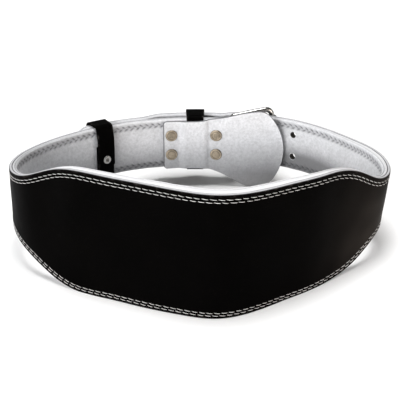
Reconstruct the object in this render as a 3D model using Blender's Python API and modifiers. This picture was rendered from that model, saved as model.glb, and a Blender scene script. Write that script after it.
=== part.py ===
"""A padded leather lifting belt, buckled into a loop and standing on its lower edge.

Metres, +Z up, the back panel towards -Y and the buckle towards +Y. All pieces are modelled in the belt's own
frame, with the loop's middle at the origin and the strap's mid height at Z = 0, and hang on one empty that
sets the buckled belt down on its three lowest places: both flanks of the back panel and the guard's tip.

A place on the belt is given by three numbers: its turn in degrees round the loop (0 at the back panel, 90 at
the right side, 180 at the buckle, more than 180 on the tongue that laps the belt's left end), how far it lies
outside the leather's outer face (out), and how far above mid height (up).
"""

import math

import bmesh
import bpy
import numpy as np
from mathutils import Matrix, Vector

# The strap: one long strip of outer leather with its padded suede lining
LOOP_WIDTH = 0.3066
LOOP_DEPTH = 0.2390
PANEL_HEIGHT = 0.1020
NARROW_HEIGHT = 0.0460
LEATHER = 0.0024
NARROW_PAD = 0.0037
PANEL_PAD = 0.0085
NARROW_CROWN = 0.0003
PANEL_CROWN = 0.0034
EDGE_ROUND = 0.0007
SUEDE_ROUND = 0.0009
TIP_ROUND = 0.0150
BELT_END_X = 0.0195
TONGUE_TIP_X = -0.1085
ROLLER_LIFT = 0.0160
LAP_EASE = 0.0220

# Clearances: between pieces that touch, and between a bore and what turns or passes in it
GAP = 0.0003
SLIDE_GAP = 0.0010

# The buckle and the strap that carries it
STRAP_LEATHER = 0.0022
STRAP_HEIGHT = 0.0390
STRAP_END_X = -0.0315
WIRE = 0.0050
FRAME_LENGTH = 0.0385
FRAME_HEIGHT = 0.0550
FRAME_HEEL_HEIGHT = 0.0478
FRAME_CORNER = 0.0060
FRAME_HEEL_CORNER = 0.0040
FRAME_TILT = 14
HEEL_BAR_X = 0.0280
ROLLER = 0.0090
PRONG = 0.0038
PRONG_SPREAD = 0.0210
PRONG_STEP_AT = 0.0130
PRONG_STEP_RUN = 0.0065
PRONG_OVERHANG = 0.0050
PRONG_BEND = 0.0028
HOOK_START = 70

# The punched holes, in pairs along the tongue
HOLE = 0.0058
HOLE_PITCH = 0.0235
PAIRS_BEFORE_PRONGS = 2
PAIRS_AFTER_PRONGS = 5

# The suede guard behind the buckle, riveted to the belt's left end
GUARD_LEATHER = 0.0020
GUARD_LEFT_X = -0.0334
GUARD_LENGTH = 0.1093
GUARD_NECK_HEIGHT = 0.0462
PADDLE_HEIGHT = 0.0740
GUARD_CUP = 0.0025
PADDLE_STAND_OFF = 0.0010

# The rivets through guard, belt end and buckle strap
RIVET_XS = (-0.0263, 0.0148)
RIVET_SPREAD = 0.0184
RIVET_DROP = 0.0006
RIVET_CAP = 0.0108
RIVET_CAP_RISE = 0.0011
RIVET_POST = 0.0036
RIVET_BACK = 0.0080
RIVET_BACK_RISE = 0.0009

# The two leather loops that hold the tongue down
KEEPER_LEATHER = 0.0019
KEEPER_ROUND = 0.0030
KEEPER_HEADROOM = 0.0014
FIXED_KEEPER_X = -0.0045
FIXED_KEEPER_WIDTH = 0.0160
SLIDING_KEEPER_X = -0.0895
SLIDING_KEEPER_WIDTH = 0.0175
LAP_TOP = 0.0070
LAP_END = -0.0110
KEEPER_RIVET_UP = -0.0052
KEEPER_RIVET_CAP = 0.0074
KEEPER_RIVET_EYE = 0.0034
KEEPER_RIVET_RISE = 0.0009
KEEPER_RIVET_POST = 0.0026
KEEPER_RIVET_BACK_RISE = 0.0005

# How far the leather is pressed flat where the belt stands on it
REST_SINK = 0.0008

# How finely things are divided
STATION_STEP = 3.0
ROUND_STEPS = 14
NECK_ROWS = 22
PADDLE_ROWS = 16
GUARD_KEYS = 30

# The closed outline of the first lap and how the strap changes along it, one row for each section.
# turn: degrees round the loop. reach: share of the loop's half width and half depth. height: 0 for the
# narrow height, 1 for the panel's. pad: 0 for the narrow padding, 1 for the panel's. lean: degrees that
# the strap's upper edge leans outwards.
SECTIONS = (
    # turn, reach, height, pad, lean
    (-160, 1.008, 0.00, 0.00, 0.0),
    (-140, 0.989, 0.01, 0.00, 0.0),
    (-120, 0.997, 0.00, 0.00, 0.0),
    (-105, 1.017, 0.00, 0.00, 0.0),
    (-90, 1.012, 0.06, 0.00, 0.0),
    (-78, 0.990, 0.17, 0.02, 0.0),
    (-68, 0.960, 0.36, 0.06, -1.0),
    (-58, 0.913, 0.71, 0.22, -2.0),
    (-46, 0.887, 0.99, 0.50, 0.0),
    (-32, 0.866, 1.00, 0.72, 0.0),
    (-18, 0.891, 1.00, 0.88, 0.0),
    (-6, 0.950, 1.00, 1.00, 1.0),
    (5, 1.006, 1.00, 1.00, 2.0),
    (16, 0.969, 0.98, 0.94, 3.0),
    (28, 0.908, 0.97, 0.75, 4.0),
    (40, 0.884, 0.94, 0.52, 4.0),
    (52, 0.875, 0.85, 0.30, 3.0),
    (62, 0.905, 0.605, 0.14, 3.0),
    (71, 0.948, 0.22, 0.05, 4.0),
    (80, 0.978, 0.07, 0.02, 6.0),
    (92, 0.993, 0.06, 0.20, 5.0),
    (105, 0.991, 0.08, 0.40, 3.3),
    (120, 0.988, 0.00, 0.25, 1.5),
    (140, 0.977, 0.00, 0.00, 0.0),
    (160, 0.991, 0.00, 0.00, 0.0),
    (180, 1.005, 0.00, 0.00, 0.0),
)

# The guard's outline, from its square riveted end to the paddle's round one. along: share of the guard's
# length. flare: 0 for the neck's height, 1 for the paddle's. drop: how far the middle hangs below mid
# height, as a share of the paddle's height.
GUARD_SECTIONS = (
    # along, flare, drop
    (0.00, 0.00, 0.012),
    (0.15, -0.02, 0.010),
    (0.28, -0.02, 0.008),
    (0.36, 0.05, 0.005),
    (0.46, 0.22, 0.016),
    (0.56, 0.50, 0.036),
    (0.66, 0.82, 0.058),
    (0.74, 0.97, 0.066),
    (0.80, 1.00, 0.062),
)
PADDLE_CORNER = 0.0090
PADDLE_END_BULGE = 0.0165
PADDLE_TIP_HALF = 0.0040
GUARD_NECK_END_X = BELT_END_X + 0.0020

TAU = 2 * math.pi
NARROW_THICKNESS = LEATHER + GAP + NARROW_PAD + NARROW_CROWN
STRAP_THICKNESS = 2 * (STRAP_LEATHER + GAP)
HEEL_BAR_OUT = GAP + STRAP_LEATHER + GAP / 2
HOOK_RADIUS = WIRE / 2 + GAP + PRONG / 2
RIVET_GRIP = GUARD_LEATHER + NARROW_THICKNESS + STRAP_THICKNESS + 2 * GAP


def closed_spline(turns, values):
    """A smooth closed curve through one value per turn, as a function of the turn in degrees."""
    turns = np.array(turns, float)
    values = np.array(values, float)
    count = len(turns)
    step = np.diff(np.append(turns, turns[0] + 360))
    slope = np.diff(np.append(values, values[0])) / step
    matrix = np.zeros((count, count))
    right = np.zeros(count)
    for i in range(count):
        matrix[i, i - 1] += step[i - 1]
        matrix[i, i] += 2 * (step[i - 1] + step[i])
        matrix[i, (i + 1) % count] += step[i]
        right[i] = 6 * (slope[i] - slope[i - 1])
    bend = np.linalg.solve(matrix, right)

    def value(turn):
        turn = (turn - turns[0]) % 360 + turns[0]
        i = min(int(np.searchsorted(turns, turn, side="right")) - 1, count - 1)
        j = (i + 1) % count
        after = turn - turns[i]
        before = step[i] - after
        curved = (bend[i] * before**3 + bend[j] * after**3) / (6 * step[i])
        start = (values[i] / step[i] - bend[i] * step[i] / 6) * before
        end = (values[j] / step[i] - bend[j] * step[i] / 6) * after
        return float(curved + start + end)

    return value


def eased(keys, x):
    """Smooth steps through (place, value) keys that never overshoot a key."""
    places = np.array([key[0] for key in keys], float)
    values = np.array([key[1] for key in keys], float)
    step = np.diff(places)
    slope = np.diff(values) / step
    tangent = np.zeros(len(places))
    for i in range(1, len(places) - 1):
        if slope[i - 1] * slope[i] > 0:
            first = 2 * step[i] + step[i - 1]
            second = step[i] + 2 * step[i - 1]
            tangent[i] = (first + second) / (first / slope[i - 1] + second / slope[i])
    x = min(max(x, places[0]), places[-1])
    i = min(int(np.searchsorted(places, x, side="right")) - 1, len(step) - 1)
    u = (x - places[i]) / step[i]
    start = (2 * u**3 - 3 * u**2 + 1) * values[i] + (u**3 - 2 * u**2 + u) * step[i] * tangent[i]
    end = (3 * u**2 - 2 * u**3) * values[i + 1] + (u**3 - u**2) * step[i] * tangent[i + 1]
    return float(start + end)


def column(index):
    return closed_spline([row[0] for row in SECTIONS], [row[index] for row in SECTIONS])


reach_at = column(1)
height_share_at = column(2)
pad_share_at = column(3)
lean_at = column(4)


def outline(turn):
    """The first lap's outer face in plan, at mid height."""
    reach = reach_at(turn)
    angle = math.radians(turn)
    return Vector((LOOP_WIDTH / 2 * reach * math.sin(angle), -LOOP_DEPTH / 2 * reach * math.cos(angle), 0))


def outward(turn):
    """The plan direction straight out of the first lap."""
    along = outline(turn + 0.05) - outline(turn - 0.05)
    return Vector((along.y, -along.x, 0)).normalized()


def turn_at(x):
    """The turn, on the buckle's side of the loop, where the first lap's outer face passes X."""
    low, high = 110.0, 250.0
    for _ in range(50):
        middle = (low + high) / 2
        if outline(middle).x > x:
            low = middle
        else:
            high = middle
    return (low + high) / 2


def wall_point(turn, out, up):
    """A place on the wall of the first lap, which leans as the table says."""
    lean = math.radians(lean_at(turn))
    direction = outward(turn)
    across = out * math.cos(lean) + up * math.sin(lean)
    return outline(turn) + direction * across + Vector((0, 0, up * math.cos(lean) - out * math.sin(lean)))


# How far the strip's outer face lies outside the first lap: nothing for the first lap itself, then out over
# the buckle's bar and hooks, down onto the buckle strap and its rivets, and down onto the bare belt end
BAR_LIFT = HEEL_BAR_OUT + HOOK_RADIUS + PRONG / 2 + SLIDE_GAP + NARROW_THICKNESS
STRAP_LIFT = STRAP_THICKNESS + RIVET_BACK_RISE + 2 * GAP + NARROW_THICKNESS
LAP_LIFT = GAP + NARROW_THICKNESS
ROLLER_X = HEEL_BAR_X + FRAME_LENGTH * math.cos(math.radians(FRAME_TILT))
LIFTS = (
    (102, 0.0),
    (turn_at(ROLLER_X), ROLLER_LIFT),
    (turn_at(HEEL_BAR_X), BAR_LIFT),
    (turn_at(RIVET_XS[1] + RIVET_BACK / 2), STRAP_LIFT),
    (turn_at(STRAP_END_X - SLIDE_GAP), STRAP_LIFT),
    (turn_at(STRAP_END_X - LAP_EASE), LAP_LIFT),
    (turn_at(TONGUE_TIP_X), LAP_LIFT),
)


def lift_at(turn):
    return eased(LIFTS, turn) if turn > LIFTS[0][0] else 0.0


def strip_point(turn, out, up):
    """A place on the strip, whose tongue lifts off the first lap."""
    return wall_point(turn, lift_at(turn) + out, up)


def strip_direction(turn):
    """The plan direction straight out of the strip itself."""
    along = strip_point(turn + 0.5, 0, 0) - strip_point(turn - 0.5, 0, 0)
    return Vector((along.y, -along.x, 0)).normalized()


def tongue_turn(x, out):
    """The turn on the tongue where the layer that lies OUT from its outer face passes X."""
    low, high = 120.0, 220.0
    for _ in range(50):
        middle = (low + high) / 2
        if strip_point(middle, out, 0).x > x:
            low = middle
        else:
            high = middle
    return (low + high) / 2


FIRST_TURN = turn_at(BELT_END_X) - 360
LAST_TURN = turn_at(TONGUE_TIP_X)


def strip_length(turn_a, turn_b):
    """The length of the strip's outer face between two turns."""
    turns = np.linspace(turn_a, turn_b, 60)
    points = [strip_point(turn, 0, 0) for turn in turns]
    return sum((b - a).length for a, b in zip(points, points[1:]))


def turn_along(turn, length):
    """The turn that lies LENGTH further along the strip's outer face, or back if it is negative."""
    other = turn
    for _ in range(6):
        run = math.copysign(strip_length(turn, other), other - turn)
        other += math.degrees((length - run) / (LOOP_WIDTH / 2))
    return other


def half_height(turn):
    """Half the strip's height, with its tip's corners rounded off."""
    full = (NARROW_HEIGHT + (PANEL_HEIGHT - NARROW_HEIGHT) * height_share_at(turn)) / 2
    left = strip_length(turn, LAST_TURN) if turn > 190 else TIP_ROUND
    corner = min(TIP_ROUND, 0.8 * full)
    if left >= corner:
        return full
    return full - corner + math.sqrt(max(corner**2 - (corner - left) ** 2, 0))


def stations(first, last, step=STATION_STEP):
    """Turns from first to last, at whole steps between them, so that every layer is divided alike."""
    inner = np.arange(math.floor(first / step) + 1, math.ceil(last / step)) * step
    inner = [turn for turn in inner if turn - first > step / 5 and last - turn > step / 5]
    return [first, *inner, last]


def strip_stations():
    """The strip's sections: evenly round the loop, then closer together round the tip."""
    round_start = turn_along(LAST_TURN, -TIP_ROUND)
    tip = [turn_along(LAST_TURN, -TIP_ROUND * (1 - math.sin(k * math.pi / 10))) for k in range(1, 5)]
    return stations(FIRST_TURN, round_start) + tip + [LAST_TURN]


def leather_section(turn):
    """The outer leather's section as (out, up) places, with its outer edges rubbed round."""
    top = half_height(turn)
    upper = [(-LEATHER, top), (-EDGE_ROUND, top), (0, top - EDGE_ROUND)]
    return upper + [(out, -up) for out, up in reversed(upper)]


def lining_section(turn):
    """The lining's section: thinner along its stitched edges and crowned between them."""
    top = half_height(turn)
    share = pad_share_at(turn)
    back = -LEATHER - GAP
    edge = back - (NARROW_PAD + (PANEL_PAD - NARROW_PAD) * share)
    crown = edge - (NARROW_CROWN + (PANEL_CROWN - NARROW_CROWN) * share)
    upper = [(back, top), (edge + SUEDE_ROUND, top), (edge, top - SUEDE_ROUND)]
    upper += [(edge + 0.75 * (crown - edge), 0.5 * top)]
    lower = [(out, -up) for out, up in reversed(upper)]
    return upper + [(crown, 0)] + lower


def guard_face():
    """The guard's outer face in plan, as (x, y) keys: on the belt end, over the keeper, out to the tongue."""
    belt = -NARROW_THICKNESS - GAP
    over_keeper = belt - KEEPER_LEATHER - GAP
    keeper = FIXED_KEEPER_WIDTH / 2 + GAP
    cap = RIVET_CAP / 2 + GAP
    outs = [(GUARD_LEFT_X - GUARD_LEATHER, belt), (RIVET_XS[0] + cap, belt), (FIXED_KEEPER_X - keeper, over_keeper)]
    outs += [(FIXED_KEEPER_X + keeper, over_keeper), (RIVET_XS[1] - cap, belt), (BELT_END_X, belt)]
    keys = []
    for x in np.linspace(GUARD_LEFT_X - GUARD_LEATHER, GUARD_NECK_END_X, GUARD_KEYS):
        place = wall_point(turn_at(x), eased(outs, x), 0)
        keys.append((place.x, place.y))
    right = GUARD_LEFT_X + GUARD_LENGTH
    behind = -NARROW_THICKNESS - PADDLE_STAND_OFF
    tongue = strip_point(tongue_turn(right, behind), behind, 0)
    return keys + [(right, tongue.y), (2 * right - BELT_END_X, 2 * tongue.y - keys[-1][1])]


def plain_material(name, colour, roughness, metallic=0.0):
    material = bpy.data.materials.new(name)
    material.use_nodes = True
    shader = material.node_tree.nodes["Principled BSDF"]
    shader.inputs["Base Color"].default_value = (*colour, 1)
    shader.inputs["Roughness"].default_value = roughness
    shader.inputs["Metallic"].default_value = metallic
    return material


class Belt:
    """The collections, the materials and the empty that everything hangs on."""

    def __init__(self):
        for old in list(bpy.data.objects):
            bpy.data.objects.remove(old, do_unlink=True)
        self.parts = bpy.data.collections.new("weightlifting_belt")
        self.cutters = bpy.data.collections.new("cutters")
        for collection in (self.parts, self.cutters):
            bpy.context.scene.collection.children.link(collection)
        self.rest = bpy.data.objects.new("belt_at_rest", None)
        self.parts.objects.link(self.rest)
        self.black = plain_material("black_leather", (0.012, 0.011, 0.011), 0.42)
        self.suede = plain_material("light_suede", (0.72, 0.72, 0.72), 0.9)
        self.steel = plain_material("nickel_steel", (0.62, 0.62, 0.62), 0.25, 1.0)
        self.brass = plain_material("aged_brass", (0.36, 0.30, 0.22), 0.45, 1.0)

    def add(self, name, data, material):
        piece = bpy.data.objects.new(name, data)
        data.materials.append(material)
        self.parts.objects.link(piece)
        piece.parent = self.rest
        return piece

    def add_cutter(self, name, data):
        cutter = bpy.data.objects.new(name, data)
        self.cutters.objects.link(cutter)
        cutter.parent = self.rest
        cutter.hide_render = True
        cutter.display_type = "WIRE"
        return cutter


def mesh_from(name, points, faces):
    """A closed mesh whose faces point out."""
    shape = bmesh.new()
    vertices = [shape.verts.new(point) for point in points]
    for face in faces:
        shape.faces.new([vertices[i] for i in face])
    bmesh.ops.recalc_face_normals(shape, faces=shape.faces)
    mesh = bpy.data.meshes.new(name)
    shape.to_mesh(mesh)
    shape.free()
    mesh.shade_smooth()
    mesh.set_sharp_from_angle(angle=math.radians(40))
    return mesh


def loft(name, rings):
    """A solid through closed rings of as many points each, capped at both ends."""
    count = len(rings[0])
    points = [point for ring in rings for point in ring]
    faces = []
    for i in range(len(rings) - 1):
        for j in range(count):
            k = (j + 1) % count
            faces.append((i * count + j, i * count + k, (i + 1) * count + k, (i + 1) * count + j))
    faces.append(tuple(range(count)))
    faces.append(tuple(range(len(points) - count, len(points))))
    return mesh_from(name, points, faces)


def band(name, slices, closed):
    """A leather band: slices of (inner, outer) point pairs, open at its ends or closed into a ring."""
    count = len(slices[0])
    points = [point for cut in slices for pair in cut for point in pair]
    spans = count if closed else count - 1
    faces = []

    def index(i, j, side):
        return (i * count + j % count) * 2 + side

    for i in range(len(slices) - 1):
        for j in range(spans):
            for side in (0, 1):
                corners = [(i, j), (i, j + 1), (i + 1, j + 1), (i + 1, j)]
                faces.append(tuple(index(a, b, side) for a, b in corners))
        if not closed:
            for j in (0, count - 1):
                faces.append((index(i, j, 0), index(i, j, 1), index(i + 1, j, 1), index(i + 1, j, 0)))
    for i in (0, len(slices) - 1):
        for j in range(spans):
            faces.append((index(i, j, 0), index(i, j, 1), index(i, j + 1, 1), index(i, j + 1, 0)))
    return mesh_from(name, points, faces)


def thickened(path, thickness, closed=False):
    """Pairs of flat places on both sides of a flat path, half the thickness away."""
    pairs = []
    for i, place in enumerate(path):
        before = path[i - 1] if i > 0 or closed else place
        after = path[(i + 1) % len(path)] if i < len(path) - 1 or closed else place
        first = np.array(place) - np.array(before)
        second = np.array(after) - np.array(place)
        normals = [np.array((d[1], -d[0])) / np.linalg.norm(d) for d in (first, second) if np.linalg.norm(d) > 0]
        miter = sum(normals) / np.linalg.norm(sum(normals))
        reach = thickness / 2 / max(float(np.dot(miter, normals[0])), 0.5)
        pairs.append((np.array(place) - miter * reach, np.array(place) + miter * reach))
    return pairs


def rounded_corner(x, y, radius, start_degrees, count=3, sweep=90):
    """Places round a quarter circle about (x, y), or another sweep in degrees, turning to the left."""
    angles = [math.radians(start_degrees + sweep * k / count) for k in range(count + 1)]
    return [(x + radius * math.cos(angle), y + radius * math.sin(angle)) for angle in angles]


def turned(name, profile):
    """A Screw modifier's profile, run down its outer side, about the piece's own Z axis."""
    mesh = bpy.data.meshes.new(name)
    mesh.from_pydata([(radius, 0, z) for radius, z in profile], [(i, i + 1) for i in range(len(profile) - 1)], [])
    return mesh


def add_screw(piece):
    screw = piece.modifiers.new("turned", "SCREW")
    screw.angle = TAU
    screw.steps = ROUND_STEPS
    screw.render_steps = ROUND_STEPS
    screw.use_merge_vertices = True
    screw.merge_threshold = 0.00005
    screw.use_smooth_shade = True


def aim(piece, place, axis):
    """Sets a piece's origin on a place and its Z axis along a direction."""
    piece.location = place
    piece.rotation_mode = "QUATERNION"
    piece.rotation_quaternion = Vector(axis).to_track_quat("Z", "Y")


def add_cut(piece, cutter):
    cut = piece.modifiers.new(cutter.name, "BOOLEAN")
    cut.operation = "DIFFERENCE"
    cut.solver = "EXACT"
    cut.object = cutter


def drill_mesh(name, drills):
    """Round rods, each given by its middle, its axis, its diameter and its length, in one mesh."""
    shape = bmesh.new()
    for middle, axis, diameter, length in drills:
        matrix = Matrix.Translation(middle) @ Vector(axis).to_track_quat("Z", "Y").to_matrix().to_4x4()
        bmesh.ops.create_cone(
            shape, cap_ends=True, segments=10, radius1=diameter / 2, radius2=diameter / 2, depth=length, matrix=matrix
        )
    mesh = bpy.data.meshes.new(name)
    shape.to_mesh(mesh)
    shape.free()
    return mesh


def wire(name, points, diameter, closed=False):
    """A round wire along a run of points."""
    curve = bpy.data.curves.new(name, "CURVE")
    curve.dimensions = "3D"
    curve.bevel_depth = diameter / 2
    curve.bevel_resolution = 2
    curve.use_fill_caps = True
    spline = curve.splines.new("POLY")
    spline.points.add(len(points) - 1)
    for point, place in zip(spline.points, points):
        point.co = (*place, 1)
    spline.use_cyclic_u = closed
    return curve


def guard_outline():
    """The guard's sections as (x, bottom, top), with the paddle's round end worked out."""
    rows = []
    for along, flare, drop in GUARD_SECTIONS:
        half = (GUARD_NECK_HEIGHT + (PADDLE_HEIGHT - GUARD_NECK_HEIGHT) * flare) / 2
        rows.append((along * GUARD_LENGTH, half, drop * PADDLE_HEIGHT))
    halves = [(x, half) for x, half, _ in rows]
    drops = [(x, drop) for x, _, drop in rows]
    bulge_start = GUARD_LENGTH - PADDLE_END_BULGE
    half_chord = PADDLE_HEIGHT / 2
    radius = (half_chord**2 + PADDLE_END_BULGE**2) / (2 * PADDLE_END_BULGE)
    result = []
    neck = GUARD_NECK_END_X - GUARD_LEFT_X
    paddle = GUARD_LENGTH - neck
    xs = [neck * k / NECK_ROWS for k in range(NECK_ROWS)]
    xs += [neck + paddle * math.sin(k / PADDLE_ROWS * math.pi / 2) for k in range(PADDLE_ROWS + 1)]
    for x in xs:
        half = eased(halves, x)
        if x > bulge_start - PADDLE_CORNER:
            chord = math.sqrt(max(radius**2 - (x - (GUARD_LENGTH - radius)) ** 2, 0.0))
            blend = PADDLE_CORNER / 2
            share = max(blend - abs(half - chord), 0) / blend
            half = min(half, chord) - share**2 * blend / 4
        drop = eased(drops, x)
        half = max(half, PADDLE_TIP_HALF)
        result.append((GUARD_LEFT_X + x, -drop - half, -drop + half))
    return result


def guard_place(keys, x):
    """A place at mid height on the guard's outer face, and the plan direction into the loop from it."""
    slope = (eased(keys, x + 0.0005) - eased(keys, x - 0.0005)) / 0.001
    return Vector((x, eased(keys, x), 0)), Vector((slope, -1, 0)).normalized()


def guard_rings():
    """The guard's sections, bent over what lies behind it and slightly cupped towards its tip."""
    keys = guard_face()
    levels = 5
    rings = []
    for x, bottom, top in guard_outline():
        face, normal = guard_place(keys, x)
        free = min(max((x - BELT_END_X) / (GUARD_LEFT_X + GUARD_LENGTH - BELT_END_X), 0), 1)
        outer, inner = [], []
        for j in range(levels):
            share = j / (levels - 1)
            up = bottom + (top - bottom) * share
            cup = GUARD_CUP * free * (2 * share - 1) ** 2
            outer.append(face + normal * cup + Vector((0, 0, up)))
            inner.append(face + normal * (cup + GUARD_LEATHER) + Vector((0, 0, up)))
        rings.append(outer + inner[::-1])
    return rings


def rest_plane():
    """The plane that the buckled belt stands on, by its three lowest places, as a normal and a height."""

    def low_edge(first, last):
        turns = np.linspace(first, last, 41)
        edges = (leather_section, lining_section)
        return [wall_point(turn, *min(edge(turn), key=lambda place: place[1])) for turn in turns for edge in edges]

    guard = [point for ring in guard_rings() for point in ring if point.z < 0]
    groups = [low_edge(-95, -15), low_edge(15, 95), guard]
    normal = Vector((0, 0, 1))
    for _ in range(8):
        left, right, back = (min(group, key=normal.dot) for group in groups)
        normal = (right - left).cross(back - left).normalized()
    return normal, normal.dot(left) + REST_SINK


REST_NORMAL, REST_HEIGHT = rest_plane()


def settle(point):
    """Soft leather that would reach below the surface lies flat on it."""
    below = REST_NORMAL.dot(point) - REST_HEIGHT
    return point - REST_NORMAL * below if below < 0 else point


def add_strip(belt):
    """The outer leather and its lining, along the whole strip."""
    turns = strip_stations()
    for name, section, material in (
        ("outer_leather", leather_section, belt.black),
        ("suede_lining", lining_section, belt.suede),
    ):
        rings = [[settle(strip_point(turn, out, up)) for out, up in section(turn)] for turn in turns]
        yield belt.add(name, loft(name, rings), material)


def add_guard(belt):
    rings = [[settle(point) for point in ring] for ring in guard_rings()]
    return belt.add("tongue_guard", loft("tongue_guard", rings), belt.suede)


def buckle_strap_path():
    """The folded buckle strap in plan: in along the belt end, round the heel bar, and back outside it."""
    close = (STRAP_LEATHER + GAP) / 2
    wide = WIRE / 2 + GAP + STRAP_LEATHER / 2
    bar_turn = turn_at(HEEL_BAR_X)
    spread_turn = turn_at(BELT_END_X - 0.001)
    turns = stations(bar_turn, turn_at(STRAP_END_X), STATION_STEP)
    turns = sorted(set(turns + [bar_turn + (spread_turn - bar_turn) * k / 4 for k in range(1, 5)]))
    keys = [(bar_turn, wide), (spread_turn, close), (turn_at(STRAP_END_X), close)]
    inner = [wall_point(turn, HEEL_BAR_OUT - eased(keys, turn), 0) for turn in reversed(turns)]
    outer = [wall_point(turn, HEEL_BAR_OUT + eased(keys, turn), 0) for turn in turns]
    bar = heel_bar()
    back = outward(bar_turn)
    side = Vector((back.y, -back.x, 0))
    angles = [math.radians(-90 + 180 * k / 6) for k in range(1, 6)]
    fold = [bar + wide * (side * math.cos(angle) + back * math.sin(angle)) for angle in angles]
    return [(point.x, point.y) for point in inner + fold + outer]


def heel_bar():
    return wall_point(turn_at(HEEL_BAR_X), HEEL_BAR_OUT, 0)


def roller_axis():
    """The roller lies outside the tongue, one frame length from the heel bar."""
    bar = heel_bar()
    low, high = turn_at(HEEL_BAR_X + FRAME_LENGTH * 1.4), turn_at(HEEL_BAR_X)
    for _ in range(40):
        middle = (low + high) / 2
        place = strip_point(middle, 0, 0) + strip_direction(middle) * (GAP + ROLLER / 2)
        if (place - bar).length > FRAME_LENGTH:
            low = middle
        else:
            high = middle
    return place


def add_buckle_strap(belt):
    pairs = thickened(buckle_strap_path(), STRAP_LEATHER)
    slices = []
    for z in (-STRAP_HEIGHT / 2, STRAP_HEIGHT / 2):
        slices.append([(Vector((*a, z)), Vector((*b, z))) for a, b in pairs])
    strap = belt.add("buckle_strap", band("buckle_strap", slices, closed=False), belt.black)
    bar = heel_bar()
    shape = bmesh.new()
    width = PRONG + 2 * SLIDE_GAP
    for side in (-1, 1):
        middle = bar + Vector((0, 0, side * PRONG_SPREAD / 2))
        around = 2 * (HOOK_RADIUS + PRONG / 2 + SLIDE_GAP)
        size = Matrix.Diagonal((around, around, width, 1))
        bmesh.ops.create_cube(shape, size=1, matrix=Matrix.Translation(middle) @ size)
    mesh = bpy.data.meshes.new("prong_slots")
    shape.to_mesh(mesh)
    shape.free()
    add_cut(strap, belt.add_cutter("prong_slots", mesh))
    return strap


def add_frame(belt):
    """The bent wire frame, which widens from the heel bar in the strap's fold to the roller's bar."""
    bar, roller = heel_bar(), roller_axis()
    along = (roller - bar).normalized()
    run = (roller - bar).length
    far_up = FRAME_HEIGHT / 2 - FRAME_CORNER
    heel_up = FRAME_HEEL_HEIGHT / 2 - FRAME_HEEL_CORNER
    side = Vector((run - FRAME_CORNER - FRAME_HEEL_CORNER, far_up - heel_up))
    lean_in = math.asin((FRAME_CORNER - FRAME_HEEL_CORNER) / side.length)
    flare = math.degrees(math.atan2(side.y, side.x) + lean_in)
    places = []
    for x, y, radius, start, sweep in (
        (run - FRAME_CORNER, far_up, FRAME_CORNER, 0, 90 + flare),
        (FRAME_HEEL_CORNER, heel_up, FRAME_HEEL_CORNER, 90 + flare, 90 - flare),
        (FRAME_HEEL_CORNER, -heel_up, FRAME_HEEL_CORNER, 180, 90 - flare),
        (run - FRAME_CORNER, -far_up, FRAME_CORNER, 270 - flare, 90 + flare),
    ):
        places += rounded_corner(x, y, radius, start, count=4, sweep=sweep)
    points = [bar + along * x + Vector((0, 0, y)) for x, y in places]
    belt.add("buckle_frame", wire("buckle_frame", points, WIRE, closed=True), belt.steel)

    length = FRAME_HEIGHT - 2 * FRAME_CORNER - 2 * GAP
    bore = WIRE / 2 + GAP
    rim = ROLLER / 2
    profile = [(bore, length / 2), (rim, length / 2), (rim, -length / 2), (bore, -length / 2), (bore, length / 2)]
    tube = belt.add("buckle_roller", turned("buckle_roller", profile), belt.steel)
    aim(tube, roller, (0, 0, 1))
    add_screw(tube)


def prong_run():
    """A prong in plan: hooked round the heel bar, along under the tongue, up through it, onto the roller."""
    bar, roller = heel_bar(), roller_axis()
    clear = PRONG / 2 + SLIDE_GAP
    step_x = HEEL_BAR_X + PRONG_STEP_AT
    below_turn = tongue_turn(step_x, -NARROW_THICKNESS - clear)
    above_turn = tongue_turn(step_x + PRONG_STEP_RUN, clear)
    below = strip_point(below_turn, -NARROW_THICKNESS - clear, 0)
    above = strip_point(above_turn, clear, 0)
    reach = below - bar
    leave = math.atan2(reach.y, reach.x) - math.acos(HOOK_RADIUS / reach.length) + TAU
    angles = np.linspace(math.radians(HOOK_START), leave, 11)
    hook = [bar + HOOK_RADIUS * Vector((math.cos(angle), math.sin(angle), 0)) for angle in angles]
    span = roller - above
    stand = ROLLER / 2 + GAP + PRONG / 2
    heading = math.atan2(span.y, span.x) + math.asin(stand / span.length)
    ahead = Vector((math.cos(heading), math.sin(heading), 0))
    rest = above + ahead * math.sqrt(span.length**2 - stand**2)
    return hook, [below, above, rest, rest + ahead * PRONG_OVERHANG]


def bent(points, run):
    """A run of points with its corners bent round, each bend starting RUN before its corner."""
    path = [points[0]]
    for before, corner, after in zip(points, points[1:], points[2:]):
        start = corner + (before - corner).normalized() * run
        end = corner + (after - corner).normalized() * run
        for share in (0, 0.25, 0.5, 0.75, 1):
            path.append(start.lerp(corner, share).lerp(corner.lerp(end, share), share))
    return path + [points[-1]]


def add_prongs(belt):
    hook, shaft = prong_run()
    plan = hook + bent([hook[-1], *shaft], PRONG_BEND)[1:]
    for name, side in (("buckle_prong_upper", 1), ("buckle_prong_lower", -1)):
        points = [point + Vector((0, 0, side * PRONG_SPREAD / 2)) for point in plan]
        belt.add(name, wire(name, points, PRONG), belt.steel)


def punched_holes():
    """Rods through the tongue alone; those of the pair that the prongs use slant as they do."""
    _, (below, above, *_) = prong_run()
    middle = (below + above) / 2
    length = NARROW_THICKNESS + GAP / 2 + LEATHER
    used = tongue_turn(middle.x, -NARROW_THICKNESS / 2)
    drills = []
    for pair in range(-PAIRS_BEFORE_PRONGS, PAIRS_AFTER_PRONGS + 1):
        turn = turn_along(used, pair * HOLE_PITCH)
        rod = (strip_point(turn, LEATHER - length / 2, 0), strip_direction(turn), HOLE, length)
        if pair == 0:
            rod = (middle, above - below, HOLE, 2 * length)
        for side in (-1, 1):
            drills.append((rod[0] + Vector((0, 0, side * PRONG_SPREAD / 2)), *rod[1:]))
    return drills


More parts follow.
